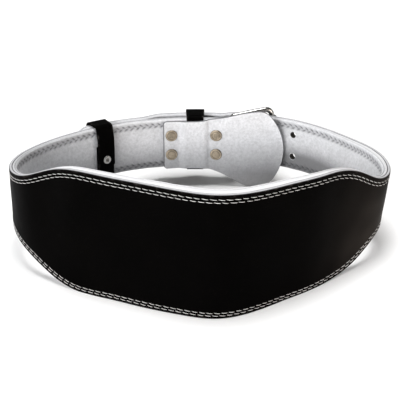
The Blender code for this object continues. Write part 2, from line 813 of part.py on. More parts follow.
def rivet_seats():
    """Each guard rivet's place on the guard's inner face, and its axis from the guard outwards."""
    keys = guard_face()
    for x in RIVET_XS:
        face, inward = guard_place(keys, x)
        for side in (1, -1):
            up = side * RIVET_SPREAD / 2 - RIVET_DROP
            yield face + inward * GUARD_LEATHER + Vector((0, 0, up)), -inward


def rivet_bores():
    """Rods through guard, belt end and buckle strap, but not through the tongue that lies over them."""
    ahead = (RIVET_GRIP - GUARD_LEATHER) / 2
    length = RIVET_GRIP + GUARD_LEATHER
    return [(seat + axis * ahead, axis, RIVET_POST + 2 * GAP, length) for seat, axis in rivet_seats()]


def add_guard_rivets(belt):
    """Flat cap rivets, the cap inside on the guard and a thin burr outside on the buckle strap."""
    depth = RIVET_GRIP
    cap, rise, back, post = RIVET_CAP / 2, RIVET_CAP_RISE, RIVET_BACK / 2, RIVET_POST / 2
    top = GAP + rise
    profile = [(0, top), (cap * 0.78, top), (cap * 0.94, top - rise * 0.25), (cap, top - rise * 0.6), (cap, GAP)]
    profile += [(post, GAP), (post, -depth), (back, -depth), (back, -depth - RIVET_BACK_RISE)]
    profile += [(0, -depth - RIVET_BACK_RISE)]
    for number, (seat, axis) in enumerate(rivet_seats(), 1):
        name = f"guard_rivet_{number}"
        rivet = belt.add(name, turned(name, profile), belt.brass)
        aim(rivet, seat, -axis)
        add_screw(rivet)


def keeper_slices(path, centre_x, width, closed):
    """A keeper's flat (out, up) path, thickened and run along the belt for its width."""
    middle = turn_at(centre_x) - 360
    pairs = thickened(path, KEEPER_LEATHER, closed)
    first = turn_along(middle, -width / 2)
    last = turn_along(middle, width / 2)
    turns = stations(first, last)
    return [[(wall_point(turn, *a), wall_point(turn, *b)) for a, b in pairs] for turn in turns]


def keeper_loop(inside, outside, top):
    """A keeper's middle line, to the left round the loop from the middle of its inner side."""
    half = KEEPER_LEATHER / 2
    low, high = inside - half, outside + half
    up = top + half
    round_ = KEEPER_ROUND
    path = rounded_corner(low + round_, -up + round_, round_, 180)
    path += rounded_corner(high - round_, -up + round_, round_, 270)
    path += rounded_corner(high - round_, up - round_, round_, 0)
    path += rounded_corner(low + round_, up - round_, round_, 90)
    return path


def add_fixed_keeper(belt):
    """The keeper beside the rivets: behind the guard, round the belt end, the strap and the tongue."""
    top = NARROW_HEIGHT / 2 + KEEPER_HEADROOM
    path = keeper_loop(-NARROW_THICKNESS - GAP, STRAP_LIFT + GAP, top)
    slices = keeper_slices(path, FIXED_KEEPER_X, FIXED_KEEPER_WIDTH, True)
    belt.add("keeper_fixed", band("keeper_fixed", slices, closed=True), belt.black)


def sliding_keeper_inside():
    return -NARROW_THICKNESS - 2 * GAP - KEEPER_RIVET_BACK_RISE


def add_sliding_keeper(belt):
    """The loose keeper round belt and tongue; its upper end laps its lower one on the inside."""
    inside = sliding_keeper_inside()
    outside = LAP_LIFT + 2 * GAP
    top = NARROW_HEIGHT / 2 + KEEPER_HEADROOM
    loop = keeper_loop(inside, outside, top)
    under = (inside - KEEPER_LEATHER / 2, LAP_TOP)
    over_out = inside - KEEPER_LEATHER * 1.5 - GAP
    ease = KEEPER_ROUND + 2 * KEEPER_LEATHER
    path = [under] + loop
    path += [(over_out, LAP_TOP + ease), (over_out, LAP_TOP), (over_out, LAP_END)]
    slices = keeper_slices(path, SLIDING_KEEPER_X, SLIDING_KEEPER_WIDTH, False)
    keeper = belt.add("keeper_sliding", band("keeper_sliding", slices, closed=False), belt.black)

    turn = turn_at(SLIDING_KEEPER_X)
    axis = outward(turn)
    seat = wall_point(turn, over_out - KEEPER_LEATHER / 2, KEEPER_RIVET_UP)
    depth = 2 * KEEPER_LEATHER + 2 * GAP
    cap, eye, rise = KEEPER_RIVET_CAP / 2, KEEPER_RIVET_EYE / 2, KEEPER_RIVET_RISE
    post, back = KEEPER_RIVET_POST / 2, KEEPER_RIVET_CAP * 0.4
    top = GAP + rise
    profile = [(0, top - rise * 0.6), (eye * 0.8, top - rise * 0.6), (eye, top), (cap * 0.8, top)]
    profile += [(cap, top - rise * 0.4), (cap, GAP), (post, GAP), (post, -depth), (back, -depth)]
    profile += [(back, -depth - KEEPER_RIVET_BACK_RISE), (0, -depth - KEEPER_RIVET_BACK_RISE)]
    rivet = belt.add("keeper_rivet", turned("keeper_rivet", profile), belt.steel)
    aim(rivet, seat, -axis)
    add_screw(rivet)
    bore = KEEPER_RIVET_POST + 2 * GAP
    drill = [(seat + axis * depth / 2, axis, bore, 4 * KEEPER_LEATHER)]
    add_cut(keeper, belt.add_cutter("keeper_rivet_hole", drill_mesh("keeper_rivet_hole", drill)))


def stand_on_floor(belt):
    """Turns the belt so that it stands on its rest plane, with its box's bottom middle at the origin."""
    turn = REST_NORMAL.rotation_difference(Vector((0, 0, 1)))
    belt.rest.rotation_mode = "QUATERNION"
    belt.rest.rotation_quaternion = turn
    bpy.context.view_layer.update()
    graph = bpy.context.evaluated_depsgraph_get()
    corners = []
    for piece in belt.parts.objects:
        if piece.type != "EMPTY":
            shown = piece.evaluated_get(graph)
            mesh = shown.to_mesh()
            corners += [shown.matrix_world @ vertex.co for vertex in mesh.vertices]
            shown.to_mesh_clear()
    places = np.array([tuple(corner) for corner in corners])
    middle = (places.min(0) + places.max(0)) / 2
    belt.rest.location = (-middle[0], -middle[1], -REST_HEIGHT)


def main():
    belt = Belt()
    leather, lining = add_strip(belt)
    guard = add_guard(belt)
    strap = add_buckle_strap(belt)
    add_frame(belt)
    add_prongs(belt)
    add_guard_rivets(belt)
    add_fixed_keeper(belt)
    add_sliding_keeper(belt)

    punch = belt.add_cutter("punched_holes", drill_mesh("punched_holes", punched_holes()))
    rivet_holes = belt.add_cutter("rivet_holes", drill_mesh("rivet_holes", rivet_bores()))
    for piece in (leather, lining):
        add_cut(piece, punch)
    for piece in (leather, lining, guard, strap):
        add_cut(piece, rivet_holes)
    stand_on_floor(belt)


main()
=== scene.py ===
"""The looks of the lifting belt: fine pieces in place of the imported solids, their materials, studio and camera.

Metres, +Z up. The pieces are worked out in the belt's own frame, with the loop's middle at the origin and the
strap's mid height at Z = 0, from the same tables as the solids, and are then set down on the floor as the belt
stands. A place on the belt is its turn in degrees round the loop (0 at the back panel, 180 at the buckle), how
far it lies outside the leather's outer face (out) and how far above mid height (up).
"""

import math

import bmesh
import bpy
import numpy as np
from mathutils import Matrix, Quaternion, Vector


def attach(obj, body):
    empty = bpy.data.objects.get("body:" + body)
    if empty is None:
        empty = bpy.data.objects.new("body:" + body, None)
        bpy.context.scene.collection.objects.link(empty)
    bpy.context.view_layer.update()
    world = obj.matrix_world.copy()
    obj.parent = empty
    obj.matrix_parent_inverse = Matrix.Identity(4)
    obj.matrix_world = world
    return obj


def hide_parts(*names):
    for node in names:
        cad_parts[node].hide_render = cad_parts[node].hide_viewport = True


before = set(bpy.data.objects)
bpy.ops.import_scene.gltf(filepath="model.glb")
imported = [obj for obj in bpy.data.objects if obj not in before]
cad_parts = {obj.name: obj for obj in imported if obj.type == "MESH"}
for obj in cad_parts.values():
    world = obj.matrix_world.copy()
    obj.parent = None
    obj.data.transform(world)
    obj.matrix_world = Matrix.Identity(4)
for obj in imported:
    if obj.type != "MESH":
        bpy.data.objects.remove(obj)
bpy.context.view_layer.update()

# The strap, as in the solids
LOOP_WIDTH = 0.3066
LOOP_DEPTH = 0.2390
PANEL_HEIGHT = 0.1020
NARROW_HEIGHT = 0.0460
LEATHER = 0.0024
NARROW_PAD = 0.0037
PANEL_PAD = 0.0085
NARROW_CROWN = 0.0003
PANEL_CROWN = 0.0034
TIP_ROUND = 0.0150
BELT_END_X = 0.0195
TONGUE_TIP_X = -0.1085
ROLLER_LIFT = 0.0160
LAP_EASE = 0.0220
GAP = 0.0003
SLIDE_GAP = 0.0010

# The buckle and its strap
STRAP_LEATHER = 0.0022
STRAP_HEIGHT = 0.0390
STRAP_END_X = -0.0315
WIRE = 0.0050
FRAME_LENGTH = 0.0385
FRAME_HEIGHT = 0.0550
FRAME_HEEL_HEIGHT = 0.0478
FRAME_CORNER = 0.0060
FRAME_HEEL_CORNER = 0.0040
FRAME_TILT = 14
HEEL_BAR_X = 0.0280
ROLLER = 0.0090
PRONG = 0.0038
PRONG_SPREAD = 0.0210
PRONG_STEP_AT = 0.0130
PRONG_STEP_RUN = 0.0065
PRONG_OVERHANG = 0.0050
PRONG_BEND = 0.0028
PRONG_DOME = 0.0014
PRONG_TAPER = 0.22
PRONG_TAPER_RUN = 0.007
HOOK_START = 70

# The punched holes
HOLE = 0.0058
HOLE_PITCH = 0.0235
PAIRS_BEFORE_PRONGS = 2
PAIRS_AFTER_PRONGS = 5

# The guard, the rivets and the keepers
GUARD_LEATHER = 0.0020
GUARD_LEFT_X = -0.0334
GUARD_LENGTH = 0.1093
GUARD_NECK_HEIGHT = 0.0462
PADDLE_HEIGHT = 0.0740
GUARD_CUP = 0.0025
PADDLE_STAND_OFF = 0.0010
RIVET_XS = (-0.0263, 0.0148)
RIVET_SPREAD = 0.0184
RIVET_DROP = 0.0006
RIVET_CAP = 0.0108
RIVET_CAP_RISE = 0.0011
RIVET_POST = 0.0036
RIVET_BACK = 0.0080
RIVET_BACK_RISE = 0.0009
KEEPER_LEATHER = 0.0019
KEEPER_ROUND = 0.0030
KEEPER_HEADROOM = 0.0014
FIXED_KEEPER_X = -0.0045
FIXED_KEEPER_WIDTH = 0.0160
SLIDING_KEEPER_X = -0.0895
SLIDING_KEEPER_WIDTH = 0.0175
LAP_TOP = 0.0070
LAP_END = -0.0110
KEEPER_RIVET_UP = -0.0052
KEEPER_RIVET_CAP = 0.0074
KEEPER_RIVET_EYE = 0.0034
KEEPER_RIVET_RISE = 0.0009
KEEPER_RIVET_POST = 0.0026
KEEPER_RIVET_BACK_RISE = 0.0005

SECTIONS = (
    # turn, reach, height, pad, lean
    (-160, 1.008, 0.00, 0.00, 0.0),
    (-140, 0.989, 0.01, 0.00, 0.0),
    (-120, 0.997, 0.00, 0.00, 0.0),
    (-105, 1.017, 0.00, 0.00, 0.0),
    (-90, 1.012, 0.06, 0.00, 0.0),
    (-78, 0.990, 0.17, 0.02, 0.0),
    (-68, 0.960, 0.36, 0.06, -1.0),
    (-58, 0.913, 0.71, 0.22, -2.0),
    (-46, 0.887, 0.99, 0.50, 0.0),
    (-32, 0.866, 1.00, 0.72, 0.0),
    (-18, 0.891, 1.00, 0.88, 0.0),
    (-6, 0.950, 1.00, 1.00, 1.0),
    (5, 1.006, 1.00, 1.00, 2.0),
    (16, 0.969, 0.98, 0.94, 3.0),
    (28, 0.908, 0.97, 0.75, 4.0),
    (40, 0.884, 0.94, 0.52, 4.0),
    (52, 0.875, 0.85, 0.30, 3.0),
    (62, 0.905, 0.605, 0.14, 3.0),
    (71, 0.948, 0.22, 0.05, 4.0),
    (80, 0.978, 0.07, 0.02, 6.0),
    (92, 0.993, 0.06, 0.20, 5.0),
    (105, 0.991, 0.08, 0.40, 3.3),
    (120, 0.988, 0.00, 0.25, 1.5),
    (140, 0.977, 0.00, 0.00, 0.0),
    (160, 0.991, 0.00, 0.00, 0.0),
    (180, 1.005, 0.00, 0.00, 0.0),
)
GUARD_SECTIONS = (
    # along, flare, drop
    (0.00, 0.00, 0.012),
    (0.15, -0.02, 0.010),
    (0.28, -0.02, 0.008),
    (0.36, 0.05, 0.005),
    (0.46, 0.22, 0.016),
    (0.56, 0.50, 0.036),
    (0.66, 0.82, 0.058),
    (0.74, 0.97, 0.066),
    (0.80, 1.00, 0.062),
)
PADDLE_CORNER = 0.0090
PADDLE_END_BULGE = 0.0165
PADDLE_TIP_HALF = 0.0005
GUARD_CORNER = 0.0032
GUARD_RIM = 0.0007
GUARD_RIM_ANGLES = (40, 70, 90, 110, 140)
GUARD_NECK_END_X = BELT_END_X + 0.0020

# How the belt stands: the turn and the place of its own frame in the world
BELT_TURN = Quaternion((0.9997384, -0.0216431, 0.0074003, 0.0))
BELT_PLACE = Vector((0.000574, -0.009067, 0.046246))
REST = Matrix.Translation(BELT_PLACE) @ BELT_TURN.to_matrix().to_4x4()

# The stitching: rows at these distances from the top and the bottom edge, and the channels and pits they pull
TOP_ROWS = (0.0038, 0.0062)
BOTTOM_ROWS = (0.0026, 0.0048)
STITCH_PITCH = 0.0058
STITCH_LENGTH = 0.0051
THREAD = 0.00043
STITCH_SLANT = 0.10
SEAM_SINK = 0.00035
SEAM_START = 0.0035
SEAM_STEPS = (-0.0009, -0.0005, 0.0, 0.0005, 0.0009)
PIT = 0.00115
PIT_LEAN = 1.1
PIT_STEPS = (-0.0010, -0.0005, 0.0, 0.0005, 0.0010)
CHANNEL_WIDTH = 0.00055
PIT_WIDTH = 0.00130
PIT_FLOOR = 0.28
PIT_SHARPNESS = 0.55

# The leather's cut edge, how far the finish is worn off it, its rubbed corner and its slow waves
LEATHER_EDGE = (
    # out, drop, bare
    (-LEATHER, 0.0003, 0.2),
    (-LEATHER + 0.0003, 0.0, 0.9),
    (-0.0013, 0.0, 1.0),
)
LEATHER_CORNER = (
    # angle, bare
    (90, 0.85),
    (68, 0.45),
    (48, 0.1),
    (25, 0.0),
    (0, 0.0),
)
CORNER_ROUND = 0.0008
RUBBED_REACH = 0.006
LEATHER_SEAM_ROOM = 0.0130
LEATHER_WAVE = 0.00022
LEATHER_WAVE_LENGTH = 0.060

# The lining's rounded edge and its fine unevenness, at the narrow ends and as the padding grows. Below a seam room
# of half height, the rows of a rounded end close up
LINING_ROUND = 0.0011
LINING_SEAM_ROOM = 0.0150
UNEVEN = 0.00008
UNEVEN_PAD = 0.00035
UNEVEN_LENGTH = 0.034

# Where shade is painted into the suede, darker towards its bottom edge, and where a warm sheen is painted onto the
# leather's flank: middles and spreads are turns, levels are shares of the strip's half height, the others are
# strengths
PAINTED_SHADE = 0.75
PAINTED_SHADE_LEVEL = 0.20
PAINTED_SHADE_GROWTH = 1.4
PAINTED_SHADE_ALL_ROUND = 0.60
PAINTED_SHADE_LEFT_SIDE = 0.36
PAINTED_SHADE_BY_GUARD, BY_GUARD = 1.9, (141, 20)
PAINTED_SHADE_FAR_LEFT, FAR_LEFT = 0.34, (-104, 27)
PAINTED_SHADE_MOST = 0.9
PAINTED_SHEEN, SHEEN_FLANK = 0.9, (80, 22)
GUARD_PAINTED_SHADE_TOP = 0.007
GUARD_PAINTED_SHADE_REACH = 0.035

# The rivets' faces from the middle outward, and the burr behind from its rim to its middle
CAP_FACE = (
    # share of the cap, below the top, hollow
    (0, 0.00006, 0.1),
    (0.30, 0.00003, 0.0),
    (0.56, 0, 0.0),
    (0.62, 0.00016, 0.8),
    (0.66, 0.00018, 0.9),
    (0.72, 0.00002, 0.1),
    (0.80, 0, 0.0),
    (0.88, 0.00008, 0.0),
    (0.95, 0.00030, 0.35),
    (0.99, 0.00062, 0.7),
)
CAP_BURR = (
    # share of the burr, share of its rise, hollow
    (0.97, 0, 0.9),
    (1, 0.3, 0.5),
    (0.93, 0.8, 0.2),
    (0.80, 1, 0.0),
    (0.50, 0.9, 0.3),
    (0.42, 0.55, 0.8),
    (0, 0.5, 0.5),
)
RING_EYE = (
    # share of the eye, share of the rise below the top, hollow
    (0, 0.7, 1.0),
    (0.7, 0.7, 1.0),
    (0.9, 0.45, 0.7),
    (1.05, 0.08, 0.1),
    (1.25, 0, 0.0),
)
RING_CAP = (
    # share of the cap, share of the rise below the top, hollow
    (0.74, 0, 0.0),
    (0.90, 0.15, 0.0),
    (0.98, 0.42, 0.2),
)

# The camera in the belt's own frame
CAMERA_PLACE = (0.0, -0.8282, 0.3621)
CAMERA_PITCH = 24
CAMERA_LENS = 99

# The floor's flat part and the height of its sweep
FLOOR_REACH = 3.2
FLOOR_SWEEP = 1.3

# The meshes: steps along the strip, and the angle in degrees above which an edge stays sharp
LEATHER_STEP = 0.0021
LINING_STEP = 0.00095
SEAM_STEP = 0.0010
CREASE = 38

TAU = 2 * math.pi
UP = np.array((0.0, 0.0, 1.0))
NARROW_THICKNESS = LEATHER + GAP + NARROW_PAD + NARROW_CROWN
STRAP_THICKNESS = 2 * (STRAP_LEATHER + GAP)
HEEL_BAR_OUT = GAP + STRAP_LEATHER + GAP / 2
HOOK_RADIUS = WIRE / 2 + GAP + PRONG / 2
RIVET_GRIP = GUARD_LEATHER + NARROW_THICKNESS + STRAP_THICKNESS + 2 * GAP


# The curves that the belt's shape follows
def closed_spline(turns, values):
    """A smooth closed curve through one value per turn, as a function of the turn in degrees."""
    turns, values = np.array(turns, float), np.array(values, float)
    count = len(turns)
    step = np.diff(np.append(turns, turns[0] + 360))
    slope = np.diff(np.append(values, values[0])) / step
    matrix, right = np.zeros((count, count)), np.zeros(count)
    for i in range(count):
        matrix[i, i - 1] += step[i - 1]
        matrix[i, i] += 2 * (step[i - 1] + step[i])
        matrix[i, (i + 1) % count] += step[i]
        right[i] = 6 * (slope[i] - slope[i - 1])
    bend = np.linalg.solve(matrix, right)

    def value(turn):
        turn = (np.asarray(turn, float) - turns[0]) % 360 + turns[0]
        i = np.minimum(np.searchsorted(turns, turn, side="right") - 1, count - 1)
        j = (i + 1) % count
        after = turn - turns[i]
        before = step[i] - after
        curved = (bend[i] * before**3 + bend[j] * after**3) / (6 * step[i])
        start = (values[i] / step[i] - bend[i] * step[i] / 6) * before
        return curved + start + (values[j] / step[i] - bend[j] * step[i] / 6) * after

    return value


def eased(keys, x):
    """Smooth steps through (place, value) keys that never overshoot a key."""
    places = np.array([key[0] for key in keys], float)
    values = np.array([key[1] for key in keys], float)
    step = np.diff(places)
    slope = np.diff(values) / step
    tangent = np.zeros(len(places))
    for i in range(1, len(places) - 1):
        if slope[i - 1] * slope[i] > 0:
            first, second = 2 * step[i] + step[i - 1], step[i] + 2 * step[i - 1]
            tangent[i] = (first + second) / (first / slope[i - 1] + second / slope[i])
    x = np.clip(np.asarray(x, float), places[0], places[-1])
    i = np.minimum(np.searchsorted(places, x, side="right") - 1, len(step) - 1)
    u = (x - places[i]) / step[i]
    start = (2 * u**3 - 3 * u**2 + 1) * values[i] + (u**3 - 2 * u**2 + u) * step[i] * tangent[i]
    return start + (3 * u**2 - 2 * u**3) * values[i + 1] + (u**3 - u**2) * step[i] * tangent[i + 1]


reach_at, height_share_at, pad_share_at, lean_at = (
    closed_spline([row[0] for row in SECTIONS], [row[index] for row in SECTIONS]) for index in (1, 2, 3, 4)
)


def hump(x, middle, width):
    """A smooth hump: 1 at the middle, fading out over the width to both sides."""
    return np.exp(-(((x - middle) / width) ** 2))


def unit(vectors):
    return vectors / np.linalg.norm(vectors, axis=-1, keepdims=True)


def sideways(along):
    """The plan direction a quarter turn clockwise from ALONG, seen from above."""
    return unit(np.stack([along[..., 1], -along[..., 0], np.zeros_like(along[..., 0])], axis=-1))


def outline(turn):
    angle = np.radians(turn)
    reach = reach_at(turn)
    x = LOOP_WIDTH / 2 * reach * np.sin(angle)
    y = -LOOP_DEPTH / 2 * reach * np.cos(angle)
    return np.stack([x, y, np.zeros_like(x)], axis=-1)


def outward(turn):
    turn = np.asarray(turn, float)
    return sideways(outline(turn + 0.05) - outline(turn - 0.05))


def wall_point(turn, out, up):
    """A place on the wall of the first lap, which leans as the table says."""
    lean = np.radians(lean_at(turn))
    across = np.asarray(out * np.cos(lean) + up * np.sin(lean))[..., None]
    rise = np.asarray(up * np.cos(lean) - out * np.sin(lean))[..., None]
    return outline(turn) + outward(turn) * across + UP * rise


def halved(too_low, low, high):
    """The place between LOW and HIGH where TOO_LOW turns false."""
    for _ in range(50):
        middle = (low + high) / 2
        low, high = (middle, high) if too_low(middle) else (low, middle)
    return (low + high) / 2


def turn_at(x):
    return halved(lambda turn: outline(turn)[0] > x, 110.0, 250.0)


BAR_LIFT = HEEL_BAR_OUT + HOOK_RADIUS + PRONG / 2 + SLIDE_GAP + NARROW_THICKNESS
STRAP_LIFT = STRAP_THICKNESS + RIVET_BACK_RISE + 2 * GAP + NARROW_THICKNESS
LAP_LIFT = GAP + NARROW_THICKNESS
LIFTS = (
    (102, 0.0),
    (turn_at(HEEL_BAR_X + FRAME_LENGTH * math.cos(math.radians(FRAME_TILT))), ROLLER_LIFT),
    (turn_at(HEEL_BAR_X), BAR_LIFT),
    (turn_at(RIVET_XS[1] + RIVET_BACK / 2), STRAP_LIFT),
    (turn_at(STRAP_END_X - SLIDE_GAP), STRAP_LIFT),
    (turn_at(STRAP_END_X - LAP_EASE), LAP_LIFT),
    (turn_at(TONGUE_TIP_X), LAP_LIFT),
)
FIRST_TURN = turn_at(BELT_END_X) - 360
LAST_TURN = turn_at(TONGUE_TIP_X)


def strip_point(turn, out, up):
    """A place on the strip, whose tongue lifts off the first lap."""
    return wall_point(turn, np.where(np.asarray(turn) > LIFTS[0][0], eased(LIFTS, turn), 0.0) + out, up)


def strip_direction(turn):
    return sideways(strip_point(turn + 0.5, 0, 0) - strip_point(turn - 0.5, 0, 0))


def tongue_turn(x, out):
    """The turn on the tongue where the layer that lies OUT from its outer face passes X."""
    return halved(lambda turn: strip_point(turn, out, 0)[0] > x, 120.0, 220.0)


# Lengths along the strip's outer face, from the belt's left end
TURNS = np.linspace(FIRST_TURN, LAST_TURN, 3300)
RUNS = np.append(0, np.cumsum(np.linalg.norm(np.diff(strip_point(TURNS, 0, 0), axis=0), axis=1)))
STRIP_LENGTH = RUNS[-1]


def run_at(turn):
    return np.interp(turn, TURNS, RUNS)


def turn_of(run):
    return np.interp(run, RUNS, TURNS)


def half_height(run):
    """Half the strip's height, with its tip's corners rounded off."""
    full = (NARROW_HEIGHT + (PANEL_HEIGHT - NARROW_HEIGHT) * height_share_at(turn_of(run))) / 2
    left = np.where(run > STRIP_LENGTH / 2, STRIP_LENGTH - run, TIP_ROUND)
    corner = np.minimum(TIP_ROUND, 0.8 * full)
    fallen = np.sqrt(np.maximum(corner**2 - (corner - left) ** 2, 0))
    return np.where(left >= corner, full, full - corner + fallen)


def strip_runs(step):
    """The strip's stations: even steps, then closer together round the tip."""
    round_start = STRIP_LENGTH - TIP_ROUND
    even = np.linspace(0, round_start, int(round_start / step))
    tip = round_start + TIP_ROUND * np.sin(np.linspace(0, math.pi / 2, 15)[1:])
    return np.concatenate([even, tip])


def edge_slant(runs):
    """How much longer a step straight down is than one square to the strip's edge."""
    safe = np.clip(runs, 0.001, STRIP_LENGTH - TIP_ROUND - 0.001)
    slope = (half_height(safe + 0.001) - half_height(safe - 0.001)) / 0.002
    return np.sqrt(1 + slope**2)


def ripple(runs, ups, wave, seed, count=7):
    """Smooth unevenness from -1 to 1 over the strip, made of waves in seeded directions."""
    draws = np.random.default_rng(seed)
    total = np.zeros(np.broadcast(runs, ups).shape)
    for _ in range(count):
        heading, phase, scale = draws.uniform(0, TAU), draws.uniform(0, TAU), draws.uniform(0.7, 1.5)
        along = runs * math.cos(heading) + ups * math.sin(heading)
        total = total + np.sin(along * TAU / (wave * scale) + phase)
    return total / count**0.5 / 1.6


# Meshes
def solid(name, rings, joined=False, crease=CREASE):
    """A closed mesh through rings of as many points each: capped at both ends, or joined end to end."""
    rings = np.asarray(rings, float)
    rows, columns = rings.shape[:2]
    i, j = np.meshgrid(np.arange(rows if joined else rows - 1), np.arange(columns), indexing="ij")
    k, n = (i + 1) % rows, (j + 1) % columns
    quads = np.stack([i * columns + j, i * columns + n, k * columns + n, k * columns + j], axis=-1).reshape(-1, 4)
    points = rings.reshape(-1, 3)
    a, b, c, d = (points[quads[:, corner]] - points.mean(0) for corner in range(4))
    volume = np.einsum("ij,ij->i", a, np.cross(b, c)).sum() + np.einsum("ij,ij->i", a, np.cross(c, d)).sum()
    faces = quads.tolist()
    if not joined:
        faces += [list(range(columns))[::-1], list(range((rows - 1) * columns, rows * columns))]
    if volume < 0:
        faces = [face[::-1] for face in faces]
    mesh = bpy.data.meshes.new(name)
    mesh.from_pydata(points.tolist(), [], faces)
    mesh.shade_smooth()
    mesh.set_sharp_from_angle(angle=math.radians(crease))
    return mesh


def mark(mesh, name, values):
    """Gives each point a value that the materials read. Values for one ring are repeated for every ring."""
    values = np.resize(np.asarray(values, float), len(mesh.vertices))
    mesh.attributes.new(name, "FLOAT", "POINT").data.foreach_set("value", values)


def link(thing):
    bpy.context.scene.collection.objects.link(thing)
    return thing


def place(name, mesh, material, slot, *nodes, at=None):
    """Adds a piece in place of the named nodes, standing as the belt stands."""
    mesh.transform(REST @ at if at else REST)
    points = np.empty(len(mesh.vertices) * 3)
    mesh.vertices.foreach_get("co", points)
    points[2::3] = np.maximum(points[2::3], 0)
    mesh.vertices.foreach_set("co", points)
    mesh.update()
    mesh.materials.append(material)
    piece = link(bpy.data.objects.new(name, mesh))
    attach(piece, "root")
    if nodes:
        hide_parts(*nodes)
    return piece


def cut(piece, rods, wall):
    """Cuts round rods, given as (middle, axis, diameter, length), or blocks, given as (middle, sizes)."""
    shape = bmesh.new()
    for rod in rods:
        at = REST @ Matrix.Translation(Vector(rod[0]))
        if len(rod) == 2:
            bmesh.ops.create_cube(shape, size=1, matrix=at @ Matrix.Diagonal((*rod[1], 1)))
            continue
        _, axis, diameter, length = rod
        at = at @ Vector(axis).to_track_quat("Z", "Y").to_matrix().to_4x4()
        bmesh.ops.create_cone(
            shape, cap_ends=True, segments=28, radius1=diameter / 2, radius2=diameter / 2, depth=length, matrix=at
        )
    mesh = bpy.data.meshes.new("cutter")
    shape.to_mesh(mesh)
    shape.free()
    mesh.materials.append(wall)
    cutter = link(bpy.data.objects.new("cutter", mesh))
    modifier = piece.modifiers.new("holes", "BOOLEAN")
    modifier.operation, modifier.solver, modifier.object = "DIFFERENCE", "EXACT", cutter
    modifier.material_mode = "TRANSFER"
    bpy.context.view_layer.update()
    whole = piece.data
    piece.data = bpy.data.meshes.new_from_object(piece.evaluated_get(bpy.context.evaluated_depsgraph_get()))
    piece.modifiers.clear()
    bpy.data.objects.remove(cutter, do_unlink=True)
    bpy.data.meshes.remove(whole)
    piece.data.shade_smooth()
    piece.data.set_sharp_from_angle(angle=math.radians(CREASE))


def arc(centre, radius, first, last, steps):
    angles = np.radians(np.linspace(first, last, steps + 1))
    return np.stack([centre[0] + radius * np.cos(angles), centre[1] + radius * np.sin(angles)], axis=-1)


def filled(path, step, closed=False):
    """A path with places added so that none is further than STEP from the next."""
    path = [np.asarray(point, float) for point in path]
    ends = path[1:] + ([path[0]] if closed else [])
    result = []
    for a, b in zip(path, ends):
        count = max(int(math.ceil(np.linalg.norm(b - a) / step)), 1)
        result += [a + (b - a) * k / count for k in range(count)]
    return np.array(result if closed else result + [path[-1]])


def strap_section(width, thickness, radius, step):
    """A strap's section as (across, off) places: flat faces with rubbed edges."""
    x, y = width / 2 - radius, thickness / 2 - radius
    corners = ((x, y, 0), (-x, y, 90), (-x, -y, 180), (x, -y, 270))
    path = np.concatenate([arc((cx, cy), radius, first, first + 90, 4) for cx, cy, first in corners])
    return filled(path, step, closed=True)


def headings(path, closed):
    """The unit directions along a path."""
    if closed:
        return unit(np.roll(path, -1, axis=0) - np.roll(path, 1, axis=0))
    return unit(np.gradient(path, axis=0))


def path_normals(path, closed=False):
    """For each place of a flat path, the direction to its right."""
    along = headings(path, closed)
    return np.stack([along[:, 1], -along[:, 0]], axis=-1)


# Materials
class Look:
    """A procedural material under construction, in real sizes from the object's own coordinates."""

    def __init__(self, name, roughness, metallic=0.0, **sockets):
        self.material = bpy.data.materials.new(name)
        self.material.use_nodes = True
        self.tree = self.material.node_tree
        self.shader = self.tree.nodes["Principled BSDF"]
        self.shader.inputs["Metallic"].default_value = metallic
        self.shader.inputs["Roughness"].default_value = roughness
        for socket, value in sockets.items():
            self.shader.inputs[socket.replace("_", " ")].default_value = value
        self.coordinates = self.tree.nodes.new("ShaderNodeTexCoord").outputs["Object"]

    def node(self, kind, inputs=(), **settings):
        made = self.tree.nodes.new(kind)
        for key, value in settings.items():
            setattr(made, key, value)
        for key, value in dict(inputs).items():
            if isinstance(value, bpy.types.NodeSocket):
                self.tree.links.new(value, made.inputs[key])
            else:
                made.inputs[key].default_value = value
        return made

    def stretched(self, scale):
        return self.node("ShaderNodeMapping", {"Vector": self.coordinates, "Scale": scale}).outputs[0]

    def noise(self, scale, detail=3.0, roughness=0.55, stretch=None):
        where = self.stretched(stretch) if stretch else self.coordinates
        inputs = {"Vector": where, "Scale": scale, "Detail": detail, "Roughness": roughness}
        return self.node("ShaderNodeTexNoise", inputs).outputs["Fac"]

    def cells(self, scale, feature="F1"):
        inputs = {"Vector": self.coordinates, "Scale": scale}
        return self.node("ShaderNodeTexVoronoi", inputs, feature=feature).outputs["Distance"]

    def ranged(self, value, low, high, to_low=0.0, to_high=1.0):
        inputs = {0: value, 1: low, 2: high, 3: to_low, 4: to_high}
        return self.node("ShaderNodeMapRange", inputs).outputs[0]

    def math(self, operation, a, b):
        return self.node("ShaderNodeMath", {0: a, 1: b}, operation=operation).outputs[0]

    def told(self, name):
        return self.node("ShaderNodeAttribute", attribute_name=name).outputs["Fac"]

    def mixed(self, share, a, b, blend="MIX"):
        inputs = {"Factor": share}
        made = self.node("ShaderNodeMix", inputs, data_type="RGBA", blend_type=blend)
        for socket, colour in ((made.inputs[6], a), (made.inputs[7], b)):
            if isinstance(colour, bpy.types.NodeSocket):
                self.tree.links.new(colour, socket)
            else:
                socket.default_value = (*colour, 1)
        return made.outputs[2]

    def set(self, socket, value):
        self.tree.links.new(value, self.shader.inputs[socket])

    def bumps(self, *layers):
        """Stacked bumps, each a height from 0 to 1, its depth in metres and its strength."""
        normal = None
        for height, depth, strength in layers:
            inputs = {"Height": height, "Distance": depth, "Strength": strength}
            if normal:
                inputs["Normal"] = normal
            normal = self.node("ShaderNodeBump", inputs).outputs[0]
        self.set("Normal", normal)


